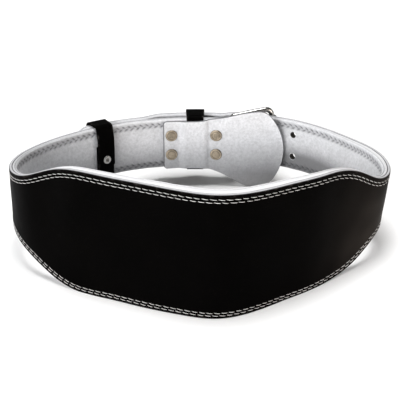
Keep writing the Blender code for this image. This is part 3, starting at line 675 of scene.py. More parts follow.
def black_leather():
    """Smooth full-grain leather, finished near black, faintly warm where it is rubbed, with a warm sheen painted on
    its right flank.
    """
    look = Look("seen_black_leather", 0.42, Specular_IOR_Level=0.008)
    mottle = look.noise(38, detail=4)
    rubbed = look.told("rub")
    scuffs = look.ranged(look.noise(210, detail=5, roughness=0.65), 0.52, 0.72)
    base = look.mixed(mottle, (0.0003, 0.0003, 0.0003), (0.0011, 0.0009, 0.0008))
    worn = look.math("MULTIPLY", rubbed, scuffs)
    base = look.mixed(worn, base, (0.040, 0.036, 0.033))
    # Painted sheen: a warm, lighter patch on the right flank.
    base = look.mixed(look.told("painted_sheen"), base, (0.032, 0.0275, 0.024))
    fibres = look.mixed(look.noise(900, detail=3), (0.30, 0.30, 0.31), (0.62, 0.62, 0.64))
    look.set("Base Color", look.mixed(look.told("bare"), base, fibres))
    smooth = look.ranged(look.noise(26, detail=3), 0.3, 0.7, 0.44, 0.58)
    look.set("Roughness", look.math("ADD", smooth, look.math("MULTIPLY", worn, 0.25)))
    grain = look.cells(1150, "SMOOTH_F1")
    look.bumps((look.noise(55, detail=2), 0.0006, 0.35), (grain, 0.00012, 0.5), (look.noise(3200, 2), 0.00005, 0.4))
    return look.material


def suede(name, bright, nap, specks, tint=(0.985, 0.99, 1.02)):
    """Light brushed split leather: a soft nap in patches, short fibres, greyer where it is pressed in, with shade
    painted into its pits and grooves and painted darker towards the bottom.
    """
    look = Look(name, 0.95, Specular_IOR_Level=0.18, Sheen_Weight=0.22, Sheen_Roughness=0.5)
    patches = look.ranged(look.noise(120, detail=6, roughness=0.70), 0.32, 0.68)
    streaks = look.ranged(look.noise(60, detail=6, roughness=0.7, stretch=(1.0, 1.0, 3.0)), 0.3, 0.7)
    fibres = look.noise(1500, detail=3, roughness=0.7)
    light = tuple(bright * share for share in tint)
    dark = tuple(bright * (1 - nap) * share for share in tint)
    base = look.mixed(patches, dark, light)
    base = look.mixed(look.math("MULTIPLY", streaks, 0.30), base, dark)
    speckle = look.ranged(look.noise(430, detail=5, roughness=0.75), 0.42, 0.66, 0.0, specks)
    base = look.mixed(speckle, base, tuple(0.62 * value for value in dark))
    base = look.mixed(look.ranged(fibres, 0.35, 0.75, 0.0, 0.22), base, tuple(0.7 * value for value in dark))
    # Painted shade: darker towards the bottom edge, and more so in places round the loop.
    base = look.mixed(look.told("dirt_and_painted_shade"), base, tuple(0.28 * value for value in dark))
    base = look.mixed(look.told("fresh"), base, (0.68, 0.68, 0.69))
    # Painted shade in the pits and grooves, a dark line at the seams, and the guard's rim drawn darker.
    base = look.mixed(look.told("patina_and_painted_shade"), base, (0.055, 0.055, 0.060))
    look.set("Base Color", base)
    look.bumps((patches, 0.0005, 0.30), (fibres, 0.00022, 0.55), (look.noise(5200, 2), 0.00008, 0.5))
    return look.material


def thread():
    """Waxed white thread, a little soiled by the black leather."""
    look = Look("seen_white_thread", 0.62, Specular_IOR_Level=0.35, Sheen_Weight=0.1)
    dirt_and_painted_shade = look.ranged(look.noise(240, detail=4, roughness=0.7), 0.42, 0.8, 0.0, 0.55)
    look.set("Base Color", look.mixed(dirt_and_painted_shade, (0.53, 0.52, 0.51), (0.22, 0.21, 0.20)))
    look.bumps((look.noise(4200, 2), 0.00006, 0.5),)
    return look.material


def metal(name, bright, dull, shine, rough, tarnish):
    """Plated wire or a pressed cap: fine scratches, and dull patches where the plating has tarnished."""
    look = Look(name, shine, metallic=1.0)
    patches = look.ranged(look.noise(420, detail=5, roughness=0.7), 0.42, 0.7, 0.0, tarnish)
    # On the metal pieces, the marked hollows take the tarnished colour.
    share = look.math("MAXIMUM", patches, look.told("patina_and_painted_shade"))
    look.set("Base Color", look.mixed(share, bright, dull))
    scratches = look.noise(900, detail=4, roughness=0.8, stretch=(1.0, 1.0, 0.12))
    look.set("Roughness", look.ranged(scratches, 0.3, 0.75, shine, rough))
    look.bumps((scratches, 0.00004, 0.25), (look.noise(260, detail=3), 0.00012, 0.2))
    return look.material


def raw_edge():
    """The punched wall of a hole: compressed fibres, stained by the black finish."""
    look = Look("seen_hole_wall", 0.9, Specular_IOR_Level=0.2)
    layers = look.noise(1400, detail=3)
    look.set("Base Color", look.mixed(layers, (0.030, 0.027, 0.025), (0.11, 0.10, 0.09)))
    look.bumps((layers, 0.0002, 0.5),)
    return look.material


BLACK = black_leather()
LINING = suede("seen_suede", 0.62, 0.18, 0.55)
GUARD = suede("seen_guard_suede", 0.68, 0.14, 0.60)
WHITE_THREAD = thread()
STEEL = metal("seen_nickel_steel", (0.34, 0.335, 0.325), (0.12, 0.115, 0.105), 0.22, 0.40, 0.60)
BRASS = metal("seen_aged_brass", (0.40, 0.34, 0.26), (0.13, 0.105, 0.075), 0.34, 0.60, 0.75)
RAW = raw_edge()


# The strip
def seam_dip(below, rows):
    """How deep the two sewn channels press the leather, at a distance below an edge."""
    return SEAM_SINK * sum(hump(below, row, CHANNEL_WIDTH) for row in rows)


def stacked(values, runs):
    """A table with a row for each run and a column for each value, which is a number or holds one per run."""
    return np.stack([np.broadcast_to(value, runs.shape) for value in values], axis=1)


def strip_rings(runs, outs, ups):
    """The strip's sections, a ring for each run, from the out and up of each column."""
    return strip_point(turn_of(runs)[:, None], stacked(outs, runs), stacked(ups, runs))


def leather_strip():
    """The outer leather with rubbed edges and the two sewn channels along each of them."""
    runs = strip_runs(LEATHER_STEP)
    top = half_height(runs)
    slant = edge_slant(runs)
    room = np.minimum(top / LEATHER_SEAM_ROOM, 1)
    columns = []
    for side, rows in ((1, TOP_ROWS), (-1, BOTTOM_ROWS)):
        part = [(out, side * (top - drop), 0.0, bare) for out, drop, bare in LEATHER_EDGE]
        for angle, bare in LEATHER_CORNER:
            out = -CORNER_ROUND + CORNER_ROUND * math.cos(math.radians(angle))
            up = top - CORNER_ROUND + CORNER_ROUND * math.sin(math.radians(angle))
            part.append((out, side * up, 1.0, bare))
        belows = [0.0014, *(row + step for row in rows for step in SEAM_STEPS), rows[1] + 0.0016]
        for below in belows:
            up = top - below * slant * room
            out = -seam_dip(below, rows) * room + 0.00010 * ripple(runs, up, 0.011, 5)
            part.append((out, side * up, max(0.0, 0.5 - below / RUBBED_REACH), 0.0))
        edge = top - belows[-1] * slant * room
        for share in np.linspace(0.94, 0.08, 9):
            up = side * edge * share
            out = LEATHER_WAVE * ripple(runs, up, LEATHER_WAVE_LENGTH, 3) + 0.00006 * ripple(runs, up, 0.016, 4)
            part.append((out, up, 0.0, 0.0))
        columns += part[::side]
    columns.insert(len(columns) // 2, (LEATHER_WAVE * ripple(runs, 0, LEATHER_WAVE_LENGTH, 3), 0.0, 0.0, 0.0))
    outs, ups, rub, bare = zip(*columns)
    mesh = solid("leather_strip", strip_rings(runs, outs, ups))
    mark(mesh, "bare", bare)
    mark(mesh, "rub", rub)
    levels = stacked(ups, runs) / top[:, None]
    # Painted sheen on the right flank, stronger towards the bottom.
    painted_sheen = PAINTED_SHEEN * hump(turn_of(runs), *SHEEN_FLANK)[:, None] * np.clip(0.75 - 0.45 * levels, 0, 1)
    mark(mesh, "painted_sheen", painted_sheen * (0.8 + 0.2 * ripple(runs[:, None], levels * 0.05, 0.03, 8)))
    piece = place("leather_strip", mesh, BLACK, "black_leather", "outer_leather")
    cut(piece, punched_holes(), RAW)
    return piece


def dimples(below, runs, rows, depth):
    """The pits that each row of stitching pulls in the lining, staggered from row to row."""
    total = 0
    for number, row in enumerate(rows):
        near = hump(below, row, PIT_WIDTH)
        lean = (1 - 2 * number) * PIT_LEAN * (below - row)
        beat = np.cos(TAU * ((runs + lean) / STITCH_PITCH + number / 2))
        pit = np.exp(-((1 - beat) / PIT_SHARPNESS))
        total = total + near * (PIT_FLOOR + (1 - PIT_FLOOR) * pit)
    return depth * total


def padded_lining():
    """The padded suede lining: a cut edge that shows its layers, pits along the seams, and a soft crown."""
    runs = strip_runs(LINING_STEP)
    top = half_height(runs)
    slant = edge_slant(runs)
    room = np.minimum(top / LINING_SEAM_ROOM, 1)
    share = pad_share_at(turn_of(runs))
    back = np.full_like(runs, -LEATHER - GAP)
    edge = back - (NARROW_PAD + (PANEL_PAD - NARROW_PAD) * share)
    crown = NARROW_CROWN + (PANEL_CROWN - NARROW_CROWN) * share
    split = edge + 0.0015 + 0.0004 * share

    def soft_face(up):
        """How far out the crowned face lies at a height, and its fine unevenness there."""
        swell = crown * (1 - (up / top) ** 2)
        return edge - swell, (UNEVEN + UNEVEN_PAD * share) * ripple(runs, up, UNEVEN_LENGTH, 21)

    columns = []
    for side, rows in ((1, TOP_ROWS), (-1, BOTTOM_ROWS)):
        cut_edge = top - 0.00005 + 0.00012 * ripple(runs, 0, 0.014, 11 + side)
        part = [(back, side * (top - 0.0004), 0.9, 0.7)]
        for out, drop, pit in (
            (back - 0.0003, 0.0, 0.35),
            (back - 0.0006, -0.0001, 0.0),
            ((back + split) / 2, -0.0001, 0.0),
            (split + 0.00045, 0.0001, 0.05),
            (split + 0.00018, 0.0005, 0.45),
            (split - 0.00018, 0.0005, 0.45),
            (split - 0.00045, 0.0001, 0.10),
        ):
            part.append((out, side * (cut_edge - drop), pit, 0.7))
        for angle in (90, 67, 45, 22, 0):
            out = edge + LINING_ROUND - LINING_ROUND * math.cos(math.radians(angle))
            up = cut_edge - LINING_ROUND + LINING_ROUND * math.sin(math.radians(angle))
            part.append((out, side * up, 0.0, 0.6 * angle / 90))
        belows = [0.0019, *(row + step for row in rows for step in PIT_STEPS), rows[1] + 0.0018, rows[1] + 0.0030]
        for below in belows:
            up = side * (top - below * slant * room)
            face, uneven = soft_face(up)
            pit = dimples(below, runs, rows, PIT)
            part.append((face + pit * room + uneven, up, np.clip(pit / PIT, 0, 1) * 0.85, 0.0))
        low = top - belows[-1] * slant * room
        for level in np.linspace(0.93, 0.10, 8):
            up = side * low * level
            face, uneven = soft_face(up)
            part.append((face + uneven, up, 0.0, 0.0))
        columns += part[::side]
    columns += [(back, top * level, 0.0, 0.0) for level in (-0.6, 0.0, 0.6)]
    outs, ups, patina_and_painted_shade, fresh = zip(*columns)
    mesh = solid("padded_lining", strip_rings(runs, outs, ups))
    # Painted shade in the stitch pits and the split groove, and a dark line along the seam to the leather.
    mark(mesh, "patina_and_painted_shade", stacked(patina_and_painted_shade, runs))
    mark(mesh, "fresh", (0.2 + 0.8 * np.clip(2 * share, 0, 1))[:, None] * np.array(fresh))
    # Painted shade: darker towards the bottom edge, more on the left side, by the guard and at the far left.
    levels = stacked(ups, runs) / top[:, None]
    turns = turn_of(runs)[:, None]
    left_side = np.maximum(-np.sin(np.radians(turns)), 0)
    shade_by_turn = PAINTED_SHADE_ALL_ROUND + PAINTED_SHADE_LEFT_SIDE * left_side + PAINTED_SHADE_BY_GUARD * hump(turns, *BY_GUARD)
    low = PAINTED_SHADE * shade_by_turn * np.clip(PAINTED_SHADE_LEVEL - levels, 0, 1.2) ** PAINTED_SHADE_GROWTH
    mark(mesh, "dirt_and_painted_shade", np.clip(low + PAINTED_SHADE_FAR_LEFT * hump(turns, *FAR_LEFT), 0, PAINTED_SHADE_MOST))
    piece = place("padded_lining", mesh, LINING, "light_suede", "suede_lining")
    cut(piece, punched_holes(), RAW)
    return piece


def seam_row(top_distance, bottom_distance):
    """A sewn row as (run, up) places: along the top edge, round the tongue's tip and back along the bottom."""
    runs = strip_runs(SEAM_STEP)
    top = half_height(runs)
    tip_up = np.linspace(top[-1], -top[-1], 12)[1:-1]
    path = [(run, up) for run, up in zip(runs, top)] + [(STRIP_LENGTH, up) for up in tip_up]
    path = np.array(path + [(run, -up) for run, up in zip(runs[::-1], top[::-1])])
    normal = path_normals(path)
    for _ in range(3):
        normal[1:-1] = unit(normal[:-2] + normal[1:-1] + normal[2:])
    along = np.linspace(0, 1, len(path))
    side = np.clip((along - 0.49) / 0.02, 0, 1)
    distance = top_distance + (bottom_distance - top_distance) * side
    return path + normal * distance[:, None]


def edge_stitching():
    """White lock stitches in two rows along each edge, each stitch bowed up out of its holes."""
    sides, steps = 8, 9
    share = np.linspace(0, 1, steps)
    bow = np.sin(math.pi * share)
    angles = np.linspace(0, TAU, sides, endpoint=False)
    points, faces = [], []
    for number in (0, 1):
        path = seam_row(TOP_ROWS[number], BOTTOM_ROWS[number])
        path = path[path[:, 0] > SEAM_START]
        travelled = np.append(0, np.cumsum(np.linalg.norm(np.diff(path, axis=0), axis=1)))
        normal = path_normals(path)
        draws = np.random.default_rng(40 + number)
        starts = np.arange(0.001 + number * STITCH_PITCH / 2, travelled[-1] - STITCH_PITCH, STITCH_PITCH)
        starts = starts + draws.normal(0, 0.00012, len(starts))
        lengths = STITCH_LENGTH + draws.normal(0, 0.00014, len(starts))
        slants = STITCH_SLANT + draws.normal(0, 0.025, len(starts))
        for start, length, slant in zip(starts, lengths, slants):
            at = start + length * share
            off = (share - 0.5) * length * slant
            radius = THREAD / 2 * (0.45 + 0.55 * bow**0.35)
            high = -SEAM_SINK - 0.00012 + (SEAM_SINK + THREAD * 0.42) * bow**0.7
            twist = 1 + 0.10 * np.cos(2 * angles[None] - share[:, None] * TAU * 2.5)
            across = off[:, None] + radius[:, None] * twist * np.cos(angles)
            out = high[:, None] + radius[:, None] * twist * np.sin(angles)
            run, up = (
                np.interp(at, travelled, path[:, k])[:, None]
                + np.interp(at, travelled, normal[:, k])[:, None] * across
                for k in (0, 1)
            )
            base = len(points) * steps * sides
            points.append((run, out, up))
            for i in range(steps - 1):
                for j in range(sides):
                    k = (j + 1) % sides
                    ring, ahead = base + i * sides, base + (i + 1) * sides
                    faces.append((ring + j, ring + k, ahead + k, ahead + j))
            faces.append(tuple(base + j for j in range(sides))[::-1])
            faces.append(tuple(base + (steps - 1) * sides + j for j in range(sides)))
    run, out, up = (np.stack([point[k] for point in points]) for k in range(3))
    places = strip_point(turn_of(run), out, up).reshape(-1, 3)
    mesh = bpy.data.meshes.new("edge_stitching")
    mesh.from_pydata(places.tolist(), [], faces)
    mesh.shade_smooth()
    return place("edge_stitching", mesh, WHITE_THREAD, "light_suede")


# The guard
def guard_face():
    """The guard's outer face in plan, as (x, y) keys: on the belt end, over the keeper, out to the tongue."""
    belt = -NARROW_THICKNESS - GAP
    over_keeper = belt - KEEPER_LEATHER - GAP
    keeper = FIXED_KEEPER_WIDTH / 2 + GAP
    cap = RIVET_CAP / 2 + GAP
    outs = [(GUARD_LEFT_X - GUARD_LEATHER, belt), (RIVET_XS[0] + cap, belt), (FIXED_KEEPER_X - keeper, over_keeper)]
    outs += [(FIXED_KEEPER_X + keeper, over_keeper), (RIVET_XS[1] - cap, belt), (BELT_END_X, belt)]
    keys = []
    for x in np.linspace(GUARD_LEFT_X - GUARD_LEATHER, GUARD_NECK_END_X, 30):
        keys.append(tuple(wall_point(turn_at(x), eased(outs, x), 0)[:2]))
    right = GUARD_LEFT_X + GUARD_LENGTH
    behind = -NARROW_THICKNESS - PADDLE_STAND_OFF
    tongue = strip_point(tongue_turn(right, behind), behind, 0)
    return keys + [(right, tongue[1]), (2 * right - BELT_END_X, 2 * tongue[1] - keys[-1][1])]


GUARD_KEYS = guard_face()


def guard_place(x):
    """Places at mid height on the guard's outer face, and the plan direction into the loop from them."""
    x = np.asarray(x, float)
    slope = (eased(GUARD_KEYS, x + 0.0005) - eased(GUARD_KEYS, x - 0.0005)) / 0.001
    flat = np.zeros_like(x)
    return np.stack([x, eased(GUARD_KEYS, x), flat], axis=-1), unit(np.stack([slope, flat - 1, flat], axis=-1))


def guard_outline(xs):
    """The guard's lower and upper edge at each place along it, with rounded corners at its square end."""
    halves, drops = [], []
    for along, flare, drop in GUARD_SECTIONS:
        halves.append((along * GUARD_LENGTH, (GUARD_NECK_HEIGHT + (PADDLE_HEIGHT - GUARD_NECK_HEIGHT) * flare) / 2))
        drops.append((along * GUARD_LENGTH, drop * PADDLE_HEIGHT))
    half_chord = PADDLE_HEIGHT / 2
    radius = (half_chord**2 + PADDLE_END_BULGE**2) / (2 * PADDLE_END_BULGE)
    half = eased(halves, xs)
    chord = np.sqrt(np.maximum(radius**2 - (xs - (GUARD_LENGTH - radius)) ** 2, 0))
    blend = PADDLE_CORNER / 2
    near = np.maximum(blend - np.abs(half - chord), 0) / blend
    round_end = np.minimum(half, chord) - near**2 * blend / 4
    half = np.where(xs > GUARD_LENGTH - PADDLE_END_BULGE - PADDLE_CORNER, round_end, half)
    lost = GUARD_CORNER - np.sqrt(np.maximum(GUARD_CORNER**2 - np.maximum(GUARD_CORNER - xs, 0) ** 2, 0))
    half = np.maximum(half - lost, PADDLE_TIP_HALF)
    drop = eased(drops, xs)
    return -drop - half, -drop + half


def guard_rim(angle):
    """How deep in the guard, and how far past its flat faces, its rounded rim lies at an angle from the front."""
    ahead = math.cos(math.radians(angle))
    deep = GUARD_RIM * (1 - ahead) if angle <= 90 else GUARD_LEATHER - GUARD_RIM * (1 + ahead)
    return deep, GUARD_RIM * math.sin(math.radians(angle))


def buckle_guard():
    """The suede guard: one thick, slightly wavy leather tongue, cupped towards its paddle end."""
    neck = GUARD_NECK_END_X - GUARD_LEFT_X
    paddle = GUARD_LENGTH - neck
    corner = GUARD_CORNER * (1 - np.cos(np.linspace(0, math.pi / 2, 8)))
    xs = np.concatenate([corner, np.linspace(GUARD_CORNER, neck, 56)[1:-1]])
    xs = np.concatenate([xs, neck + paddle * np.sin(np.linspace(0, math.pi / 2, 60))])
    bottom, top = guard_outline(xs)
    face, normal = guard_place(GUARD_LEFT_X + xs)
    free = np.clip((GUARD_LEFT_X + xs - BELT_END_X) / (GUARD_LEFT_X + GUARD_LENGTH - BELT_END_X), 0, 1)
    levels = np.linspace(0, 1, 25)
    section = []
    for flat, shares, side, angles, by_front, by_back in (
        (0.0, levels, 1, GUARD_RIM_ANGLES, 0.85, 0.90),
        (GUARD_LEATHER, levels[::-1], -1, GUARD_RIM_ANGLES[::-1], 0.75, 0.30),
    ):
        section += [(flat, share, 0.0, 0.0) for share in shares]
        for angle in angles:
            deep, past = guard_rim(angle)
            section.append((deep, max(side, 0), side * past, by_front if angle <= 90 else by_back))
    rings = []
    inset = np.minimum(GUARD_RIM, 0.45 * (top - bottom))
    for deep, share, past, _ in section:
        up = bottom + inset + (top - bottom - 2 * inset) * share + past / GUARD_RIM * inset
        level = (up - bottom) / (top - bottom)
        cup = GUARD_CUP * free * (2 * level - 1) ** 2
        waver = 0.00030 * free * ripple(xs, up, 0.030, 31)
        rings.append(face + normal * (deep + cup + waver)[:, None] + UP * up[:, None])
    mesh = solid("buckle_guard", np.stack(rings, axis=1))
    # The rounded rim and the left end are drawn darker, as an outline.
    patina_and_painted_shade = stacked([row[3] for row in section], xs)
    patina_and_painted_shade[xs < 0.0005] = 0.9
    mark(mesh, "patina_and_painted_shade", patina_and_painted_shade)
    # Painted shade: the guard darker towards its bottom, more on its free paddle.
    heights = np.stack([ring[:, 2] for ring in rings], axis=1)
    low = np.clip((GUARD_PAINTED_SHADE_TOP - heights) / GUARD_PAINTED_SHADE_REACH, 0, 1)
    mark(mesh, "dirt_and_painted_shade", (0.55 + 0.45 * free)[:, None] * low**1.2)
    return place("buckle_guard", mesh, GUARD, "light_suede", "tongue_guard")


# The rivets
def lathe(name, profile, steps=56, notch=0.0):
    """A turned piece about Z through (radius, height, hollow) places, with a nick in its widest rim."""
    angles = np.linspace(0, TAU, steps, endpoint=False)
    widest = max(radius for radius, _, _ in profile)
    rings = []
    for radius, height, _ in profile:
        nick = notch * hump(angles, math.pi / 2, 0.10) if radius > 0.86 * widest else 0 * angles
        reach = np.maximum(radius, 0.00002) - nick
        rings.append(np.stack([reach * np.cos(angles), reach * np.sin(angles), np.full(steps, height)], axis=-1))
    mesh = solid(name, rings, crease=50)
    mark(mesh, "patina_and_painted_shade", np.repeat([pit for _, _, pit in profile], steps))
    return mesh


def aimed(seat, axis):
    return Matrix.Translation(Vector(seat)) @ Vector(axis).to_track_quat("Z", "Y").to_matrix().to_4x4()


def rivet_seats():
    for x in RIVET_XS:
        face, inward = guard_place(x)
        for side in (1, -1):
            yield face + inward * GUARD_LEATHER + UP * (side * RIVET_SPREAD / 2 - RIVET_DROP), -inward


def cap_rivets():
    """Flat cap rivets with a pressed ring on the guard, and a burred washer outside on the strap."""
    cap, back, post = RIVET_CAP / 2, RIVET_BACK / 2, RIVET_POST / 2
    profile = [(cap * share, GAP + RIVET_CAP_RISE - below, pit) for share, below, pit in CAP_FACE]
    profile += [(cap, GAP + 0.0003, 0.9), (cap * 0.985, GAP, 1.0), (post, GAP, 1.0), (post, -RIVET_GRIP, 1.0)]
    profile += [(back * share, -RIVET_GRIP - RIVET_BACK_RISE * rise, pit) for share, rise, pit in CAP_BURR]
    for number, (seat, axis) in enumerate(rivet_seats(), 1):
        mesh = lathe(f"cap_rivet_{number}", profile, notch=0.00035)
        place(mesh.name, mesh, BRASS, "aged_brass", f"guard_rivet_{number}", at=aimed(seat, -axis))


# The buckle
def heel_bar():
    return wall_point(turn_at(HEEL_BAR_X), HEEL_BAR_OUT, 0)


def roller_axis():
    bar = heel_bar()

    def seat(turn):
        return strip_point(turn, 0, 0) + strip_direction(turn) * (GAP + ROLLER / 2)

    far = halved(
        lambda turn: np.linalg.norm(seat(turn) - bar) > FRAME_LENGTH,
        turn_at(HEEL_BAR_X + FRAME_LENGTH * 1.4),
        turn_at(HEEL_BAR_X),
    )
    return seat(far)


BAR, ROLLER_PLACE = heel_bar(), roller_axis()


def folded_strap():
    """The strap that carries the buckle: folded round the heel bar, rubbed at its edges, slotted for the prongs."""
    close = (STRAP_LEATHER + GAP) / 2
    wide = WIRE / 2 + GAP + STRAP_LEATHER / 2
    bar_turn, end_turn = turn_at(HEEL_BAR_X), turn_at(STRAP_END_X)
    keys = [(bar_turn, wide), (turn_at(BELT_END_X - 0.001), close), (end_turn, close)]
    turns = np.linspace(bar_turn, end_turn, 46)
    inner = wall_point(turns[::-1], HEEL_BAR_OUT - eased(keys, turns[::-1]), 0)
    outer = wall_point(turns, HEEL_BAR_OUT + eased(keys, turns), 0)
    back = outward(bar_turn)
    side = np.array((back[1], -back[0], 0))
    fold = [
        BAR + wide * (side * math.cos(angle) + back * math.sin(angle))
        for angle in np.linspace(-math.pi / 2, math.pi / 2, 20)[1:-1]
    ]
    path = np.concatenate([inner, fold, outer])[:, :2]
    normal = path_normals(path)
    section = strap_section(STRAP_HEIGHT, STRAP_LEATHER, 0.0007, 0.003)
    flat = path[:, None] + normal[:, None] * section[None, :, 1:]
    ups = np.broadcast_to(section[:, 0], flat.shape[:2])[..., None]
    mesh = solid("folded_strap", np.concatenate([flat, ups], axis=-1))
    mark(mesh, "rub", np.abs(section[:, 0]) > STRAP_HEIGHT / 2 - 0.0008)
    piece = place("folded_strap", mesh, BLACK, "black_leather", "buckle_strap")
    around = 2 * (HOOK_RADIUS + PRONG / 2 + SLIDE_GAP)
    width = PRONG + 2 * SLIDE_GAP
    cut(piece, [(BAR + UP * side * PRONG_SPREAD / 2, (around, around, width)) for side in (-1, 1)], RAW)


def tube(name, path, radii, across, sides, joined=False):
    """A round wire along a path in one plane, whose normal is ACROSS, with a radius at each place."""
    path, across = np.asarray(path, float), np.asarray(across, float)
    aside = unit(np.cross(headings(path, joined), across))
    angles = np.linspace(0, TAU, sides, endpoint=False)
    ring = aside[:, None] * np.cos(angles)[None, :, None] + across * np.sin(angles)[None, :, None]
    rings = path[:, None] + ring * np.broadcast_to(radii, len(path))[:, None, None]
    mesh = solid(name, rings, joined=joined, crease=60)
    mark(mesh, "patina_and_painted_shade", 0)
    return mesh


def wire_frame():
    """The frame, bent from one wire, its ends butted together inside the strap's fold."""
    along = unit(ROLLER_PLACE - BAR)
    run = np.linalg.norm(ROLLER_PLACE - BAR)
    far, heel = FRAME_CORNER, FRAME_HEEL_CORNER
    far_up, heel_up = FRAME_HEIGHT / 2 - far, FRAME_HEEL_HEIGHT / 2 - heel
    side = (run - far - heel, far_up - heel_up)
    flare = math.degrees(math.atan2(side[1], side[0]) + math.asin((far - heel) / math.hypot(*side)))
    corners = (
        (run - far, far_up, far, 0, 90 + flare),
        (heel, heel_up, heel, 90 + flare, 180),
        (heel, -heel_up, heel, 180, 270 - flare),
        (run - far, -far_up, far, 270 - flare, 360),
    )
    path = np.concatenate([arc((x, y), radius, first, last, 12) for x, y, radius, first, last in corners])
    path = filled(path, 0.003, closed=True)
    points = BAR + path[:, :1] * along + path[:, 1:] * UP
    mesh = tube("wire_frame", points, WIRE / 2, np.cross(along, UP), 20, joined=True)
    place("wire_frame", mesh, STEEL, "nickel_steel", "buckle_frame")


def roller_tube():
    """The roller, rolled from sheet: a round tube with a fine seam along it and softened ends."""
    length = FRAME_HEIGHT - 2 * FRAME_CORNER - 2 * GAP
    bore, rim, soft = WIRE / 2 + GAP, ROLLER / 2, 0.0006
    half = length / 2
    outside = arc((rim - soft, half - soft), soft, 90, 0, 5)
    section = np.concatenate([[(bore, half)], outside, outside[::-1] * (1, -1), [(bore, -half)]])
    section = filled(section, 0.004, closed=True)
    turns = np.linspace(math.radians(2.2), math.radians(357.8), 72) + math.radians(200)
    rings = [
        np.stack([section[:, 0] * math.cos(angle), section[:, 0] * math.sin(angle), section[:, 1]], axis=-1)
        for angle in turns
    ]
    mesh = solid("roller_tube", rings)
    mark(mesh, "patina_and_painted_shade", 0)
    place("roller_tube", mesh, STEEL, "nickel_steel", "buckle_roller", at=aimed(ROLLER_PLACE, (0, 0, 1)))


def prong_run():
    """A prong in plan: hooked round the heel bar, along under the tongue, up through it, onto the roller."""
    clear = PRONG / 2 + SLIDE_GAP
    step_x = HEEL_BAR_X + PRONG_STEP_AT
    below = strip_point(tongue_turn(step_x, -NARROW_THICKNESS - clear), -NARROW_THICKNESS - clear, 0)
    above = strip_point(tongue_turn(step_x + PRONG_STEP_RUN, clear), clear, 0)
    reach = below - BAR
    leave = math.atan2(reach[1], reach[0]) - math.acos(HOOK_RADIUS / np.linalg.norm(reach)) + TAU
    hook = [
        BAR + HOOK_RADIUS * np.array((math.cos(angle), math.sin(angle), 0))
        for angle in np.linspace(math.radians(HOOK_START), leave, 26)
    ]
    span = ROLLER_PLACE - above
    stand = ROLLER / 2 + GAP + PRONG / 2
    far = np.linalg.norm(span)
    heading = math.atan2(span[1], span[0]) + math.asin(stand / far)
    ahead = np.array((math.cos(heading), math.sin(heading), 0))
    rest = above + ahead * math.sqrt(far**2 - stand**2)
    return hook, [below, above, rest, rest + ahead * PRONG_OVERHANG]


def prongs():
    """Two wire prongs with hooked heels and blunt, slightly tapered points."""
    hook, shaft = prong_run()
    points = [hook[-1], *shaft]
    path = hook[:-1] + [points[0]]
    for before, corner, after in zip(points, points[1:], points[2:]):
        start = corner + unit(before - corner) * PRONG_BEND
        end = corner + unit(after - corner) * PRONG_BEND
        for share in np.linspace(0, 1, 9):
            first, second = start + (corner - start) * share, corner + (end - corner) * share
            path.append(first + (second - first) * share)
    path = filled(path + [points[-1]], 0.0012)
    left = np.append(0, np.cumsum(np.linalg.norm(np.diff(path, axis=0), axis=1)))
    heel, point = left, left[-1] - left
    rounded_heel, rounded_tip = (
        np.sqrt(np.clip(1 - (1 - np.clip(end / PRONG_DOME, 0, 1)) ** 2, 0.03, 1)) for end in (heel, point)
    )
    taper = 1 - PRONG_TAPER + PRONG_TAPER * np.clip(point / PRONG_TAPER_RUN, 0, 1)
    radii = PRONG / 2 * rounded_heel * rounded_tip * taper
    for name, side in (("prong_upper", 1), ("prong_lower", -1)):
        mesh = tube(name, path + UP * side * PRONG_SPREAD / 2, radii, (0, 0, 1), 20)
        place(name, mesh, STEEL, "nickel_steel", "buckle_" + name)


def punched_holes():
    """Rods through the tongue alone; those of the pair that the prongs use slant as they do."""
    _, (below, above, *_) = prong_run()
    middle = (below + above) / 2
    length = NARROW_THICKNESS + GAP / 2 + LEATHER
    used = run_at(tongue_turn(middle[0], -NARROW_THICKNESS / 2))
    rods = []
    for pair in range(-PAIRS_BEFORE_PRONGS, PAIRS_AFTER_PRONGS + 1):
        turn = turn_of(used + pair * HOLE_PITCH)
        rod = (strip_point(turn, LEATHER - length / 2, 0), strip_direction(turn), HOLE, length)
        if pair == 0:
            rod = (middle, above - below, HOLE, 2 * length)
        for side in (-1, 1):
            rods.append((rod[0] + UP * side * PRONG_SPREAD / 2, *rod[1:]))
    return rods


# The keepers
def keeper_loop(inside, outside, top):
    """A keeper's middle line, to the left round the loop from the middle of its inner side."""
    half = KEEPER_LEATHER / 2
    low, high, up, turn = inside - half, outside + half, top + half, KEEPER_ROUND
    corners = ((low + turn, -up + turn, 180), (high - turn, -up + turn, 270), (high - turn, up - turn, 0))
    corners += ((low + turn, up - turn, 90),)
    return np.concatenate([arc((x, y), turn, first, first + 90, 8) for x, y, first in corners])


def keeper_band(name, path, centre_x, width, closed):
    """A leather band along a flat (out, up) path round the belt."""
    middle = run_at(turn_at(centre_x) - 360)
    path = filled(path, 0.0015, closed)
    normal = path_normals(path, closed)
    section = strap_section(width, KEEPER_LEATHER, 0.00075, 0.0016)
    turns = turn_of(middle + section[:, 0])
    out = path[:, :1] + normal[:, :1] * section[None, :, 1]
    up = path[:, 1:] + normal[:, 1:] * section[None, :, 1]
    mesh = solid(name, wall_point(turns[None], out, up), joined=closed)
    mark(mesh, "rub", np.abs(section[:, 0]) > width / 2 - 0.0009)
    return mesh


def fixed_keeper():
    path = keeper_loop(-NARROW_THICKNESS - GAP, STRAP_LIFT + GAP, NARROW_HEIGHT / 2 + KEEPER_HEADROOM)
    mesh = keeper_band("keeper_beside_buckle", path, FIXED_KEEPER_X, FIXED_KEEPER_WIDTH, True)
    place("keeper_beside_buckle", mesh, BLACK, "black_leather", "keeper_fixed")


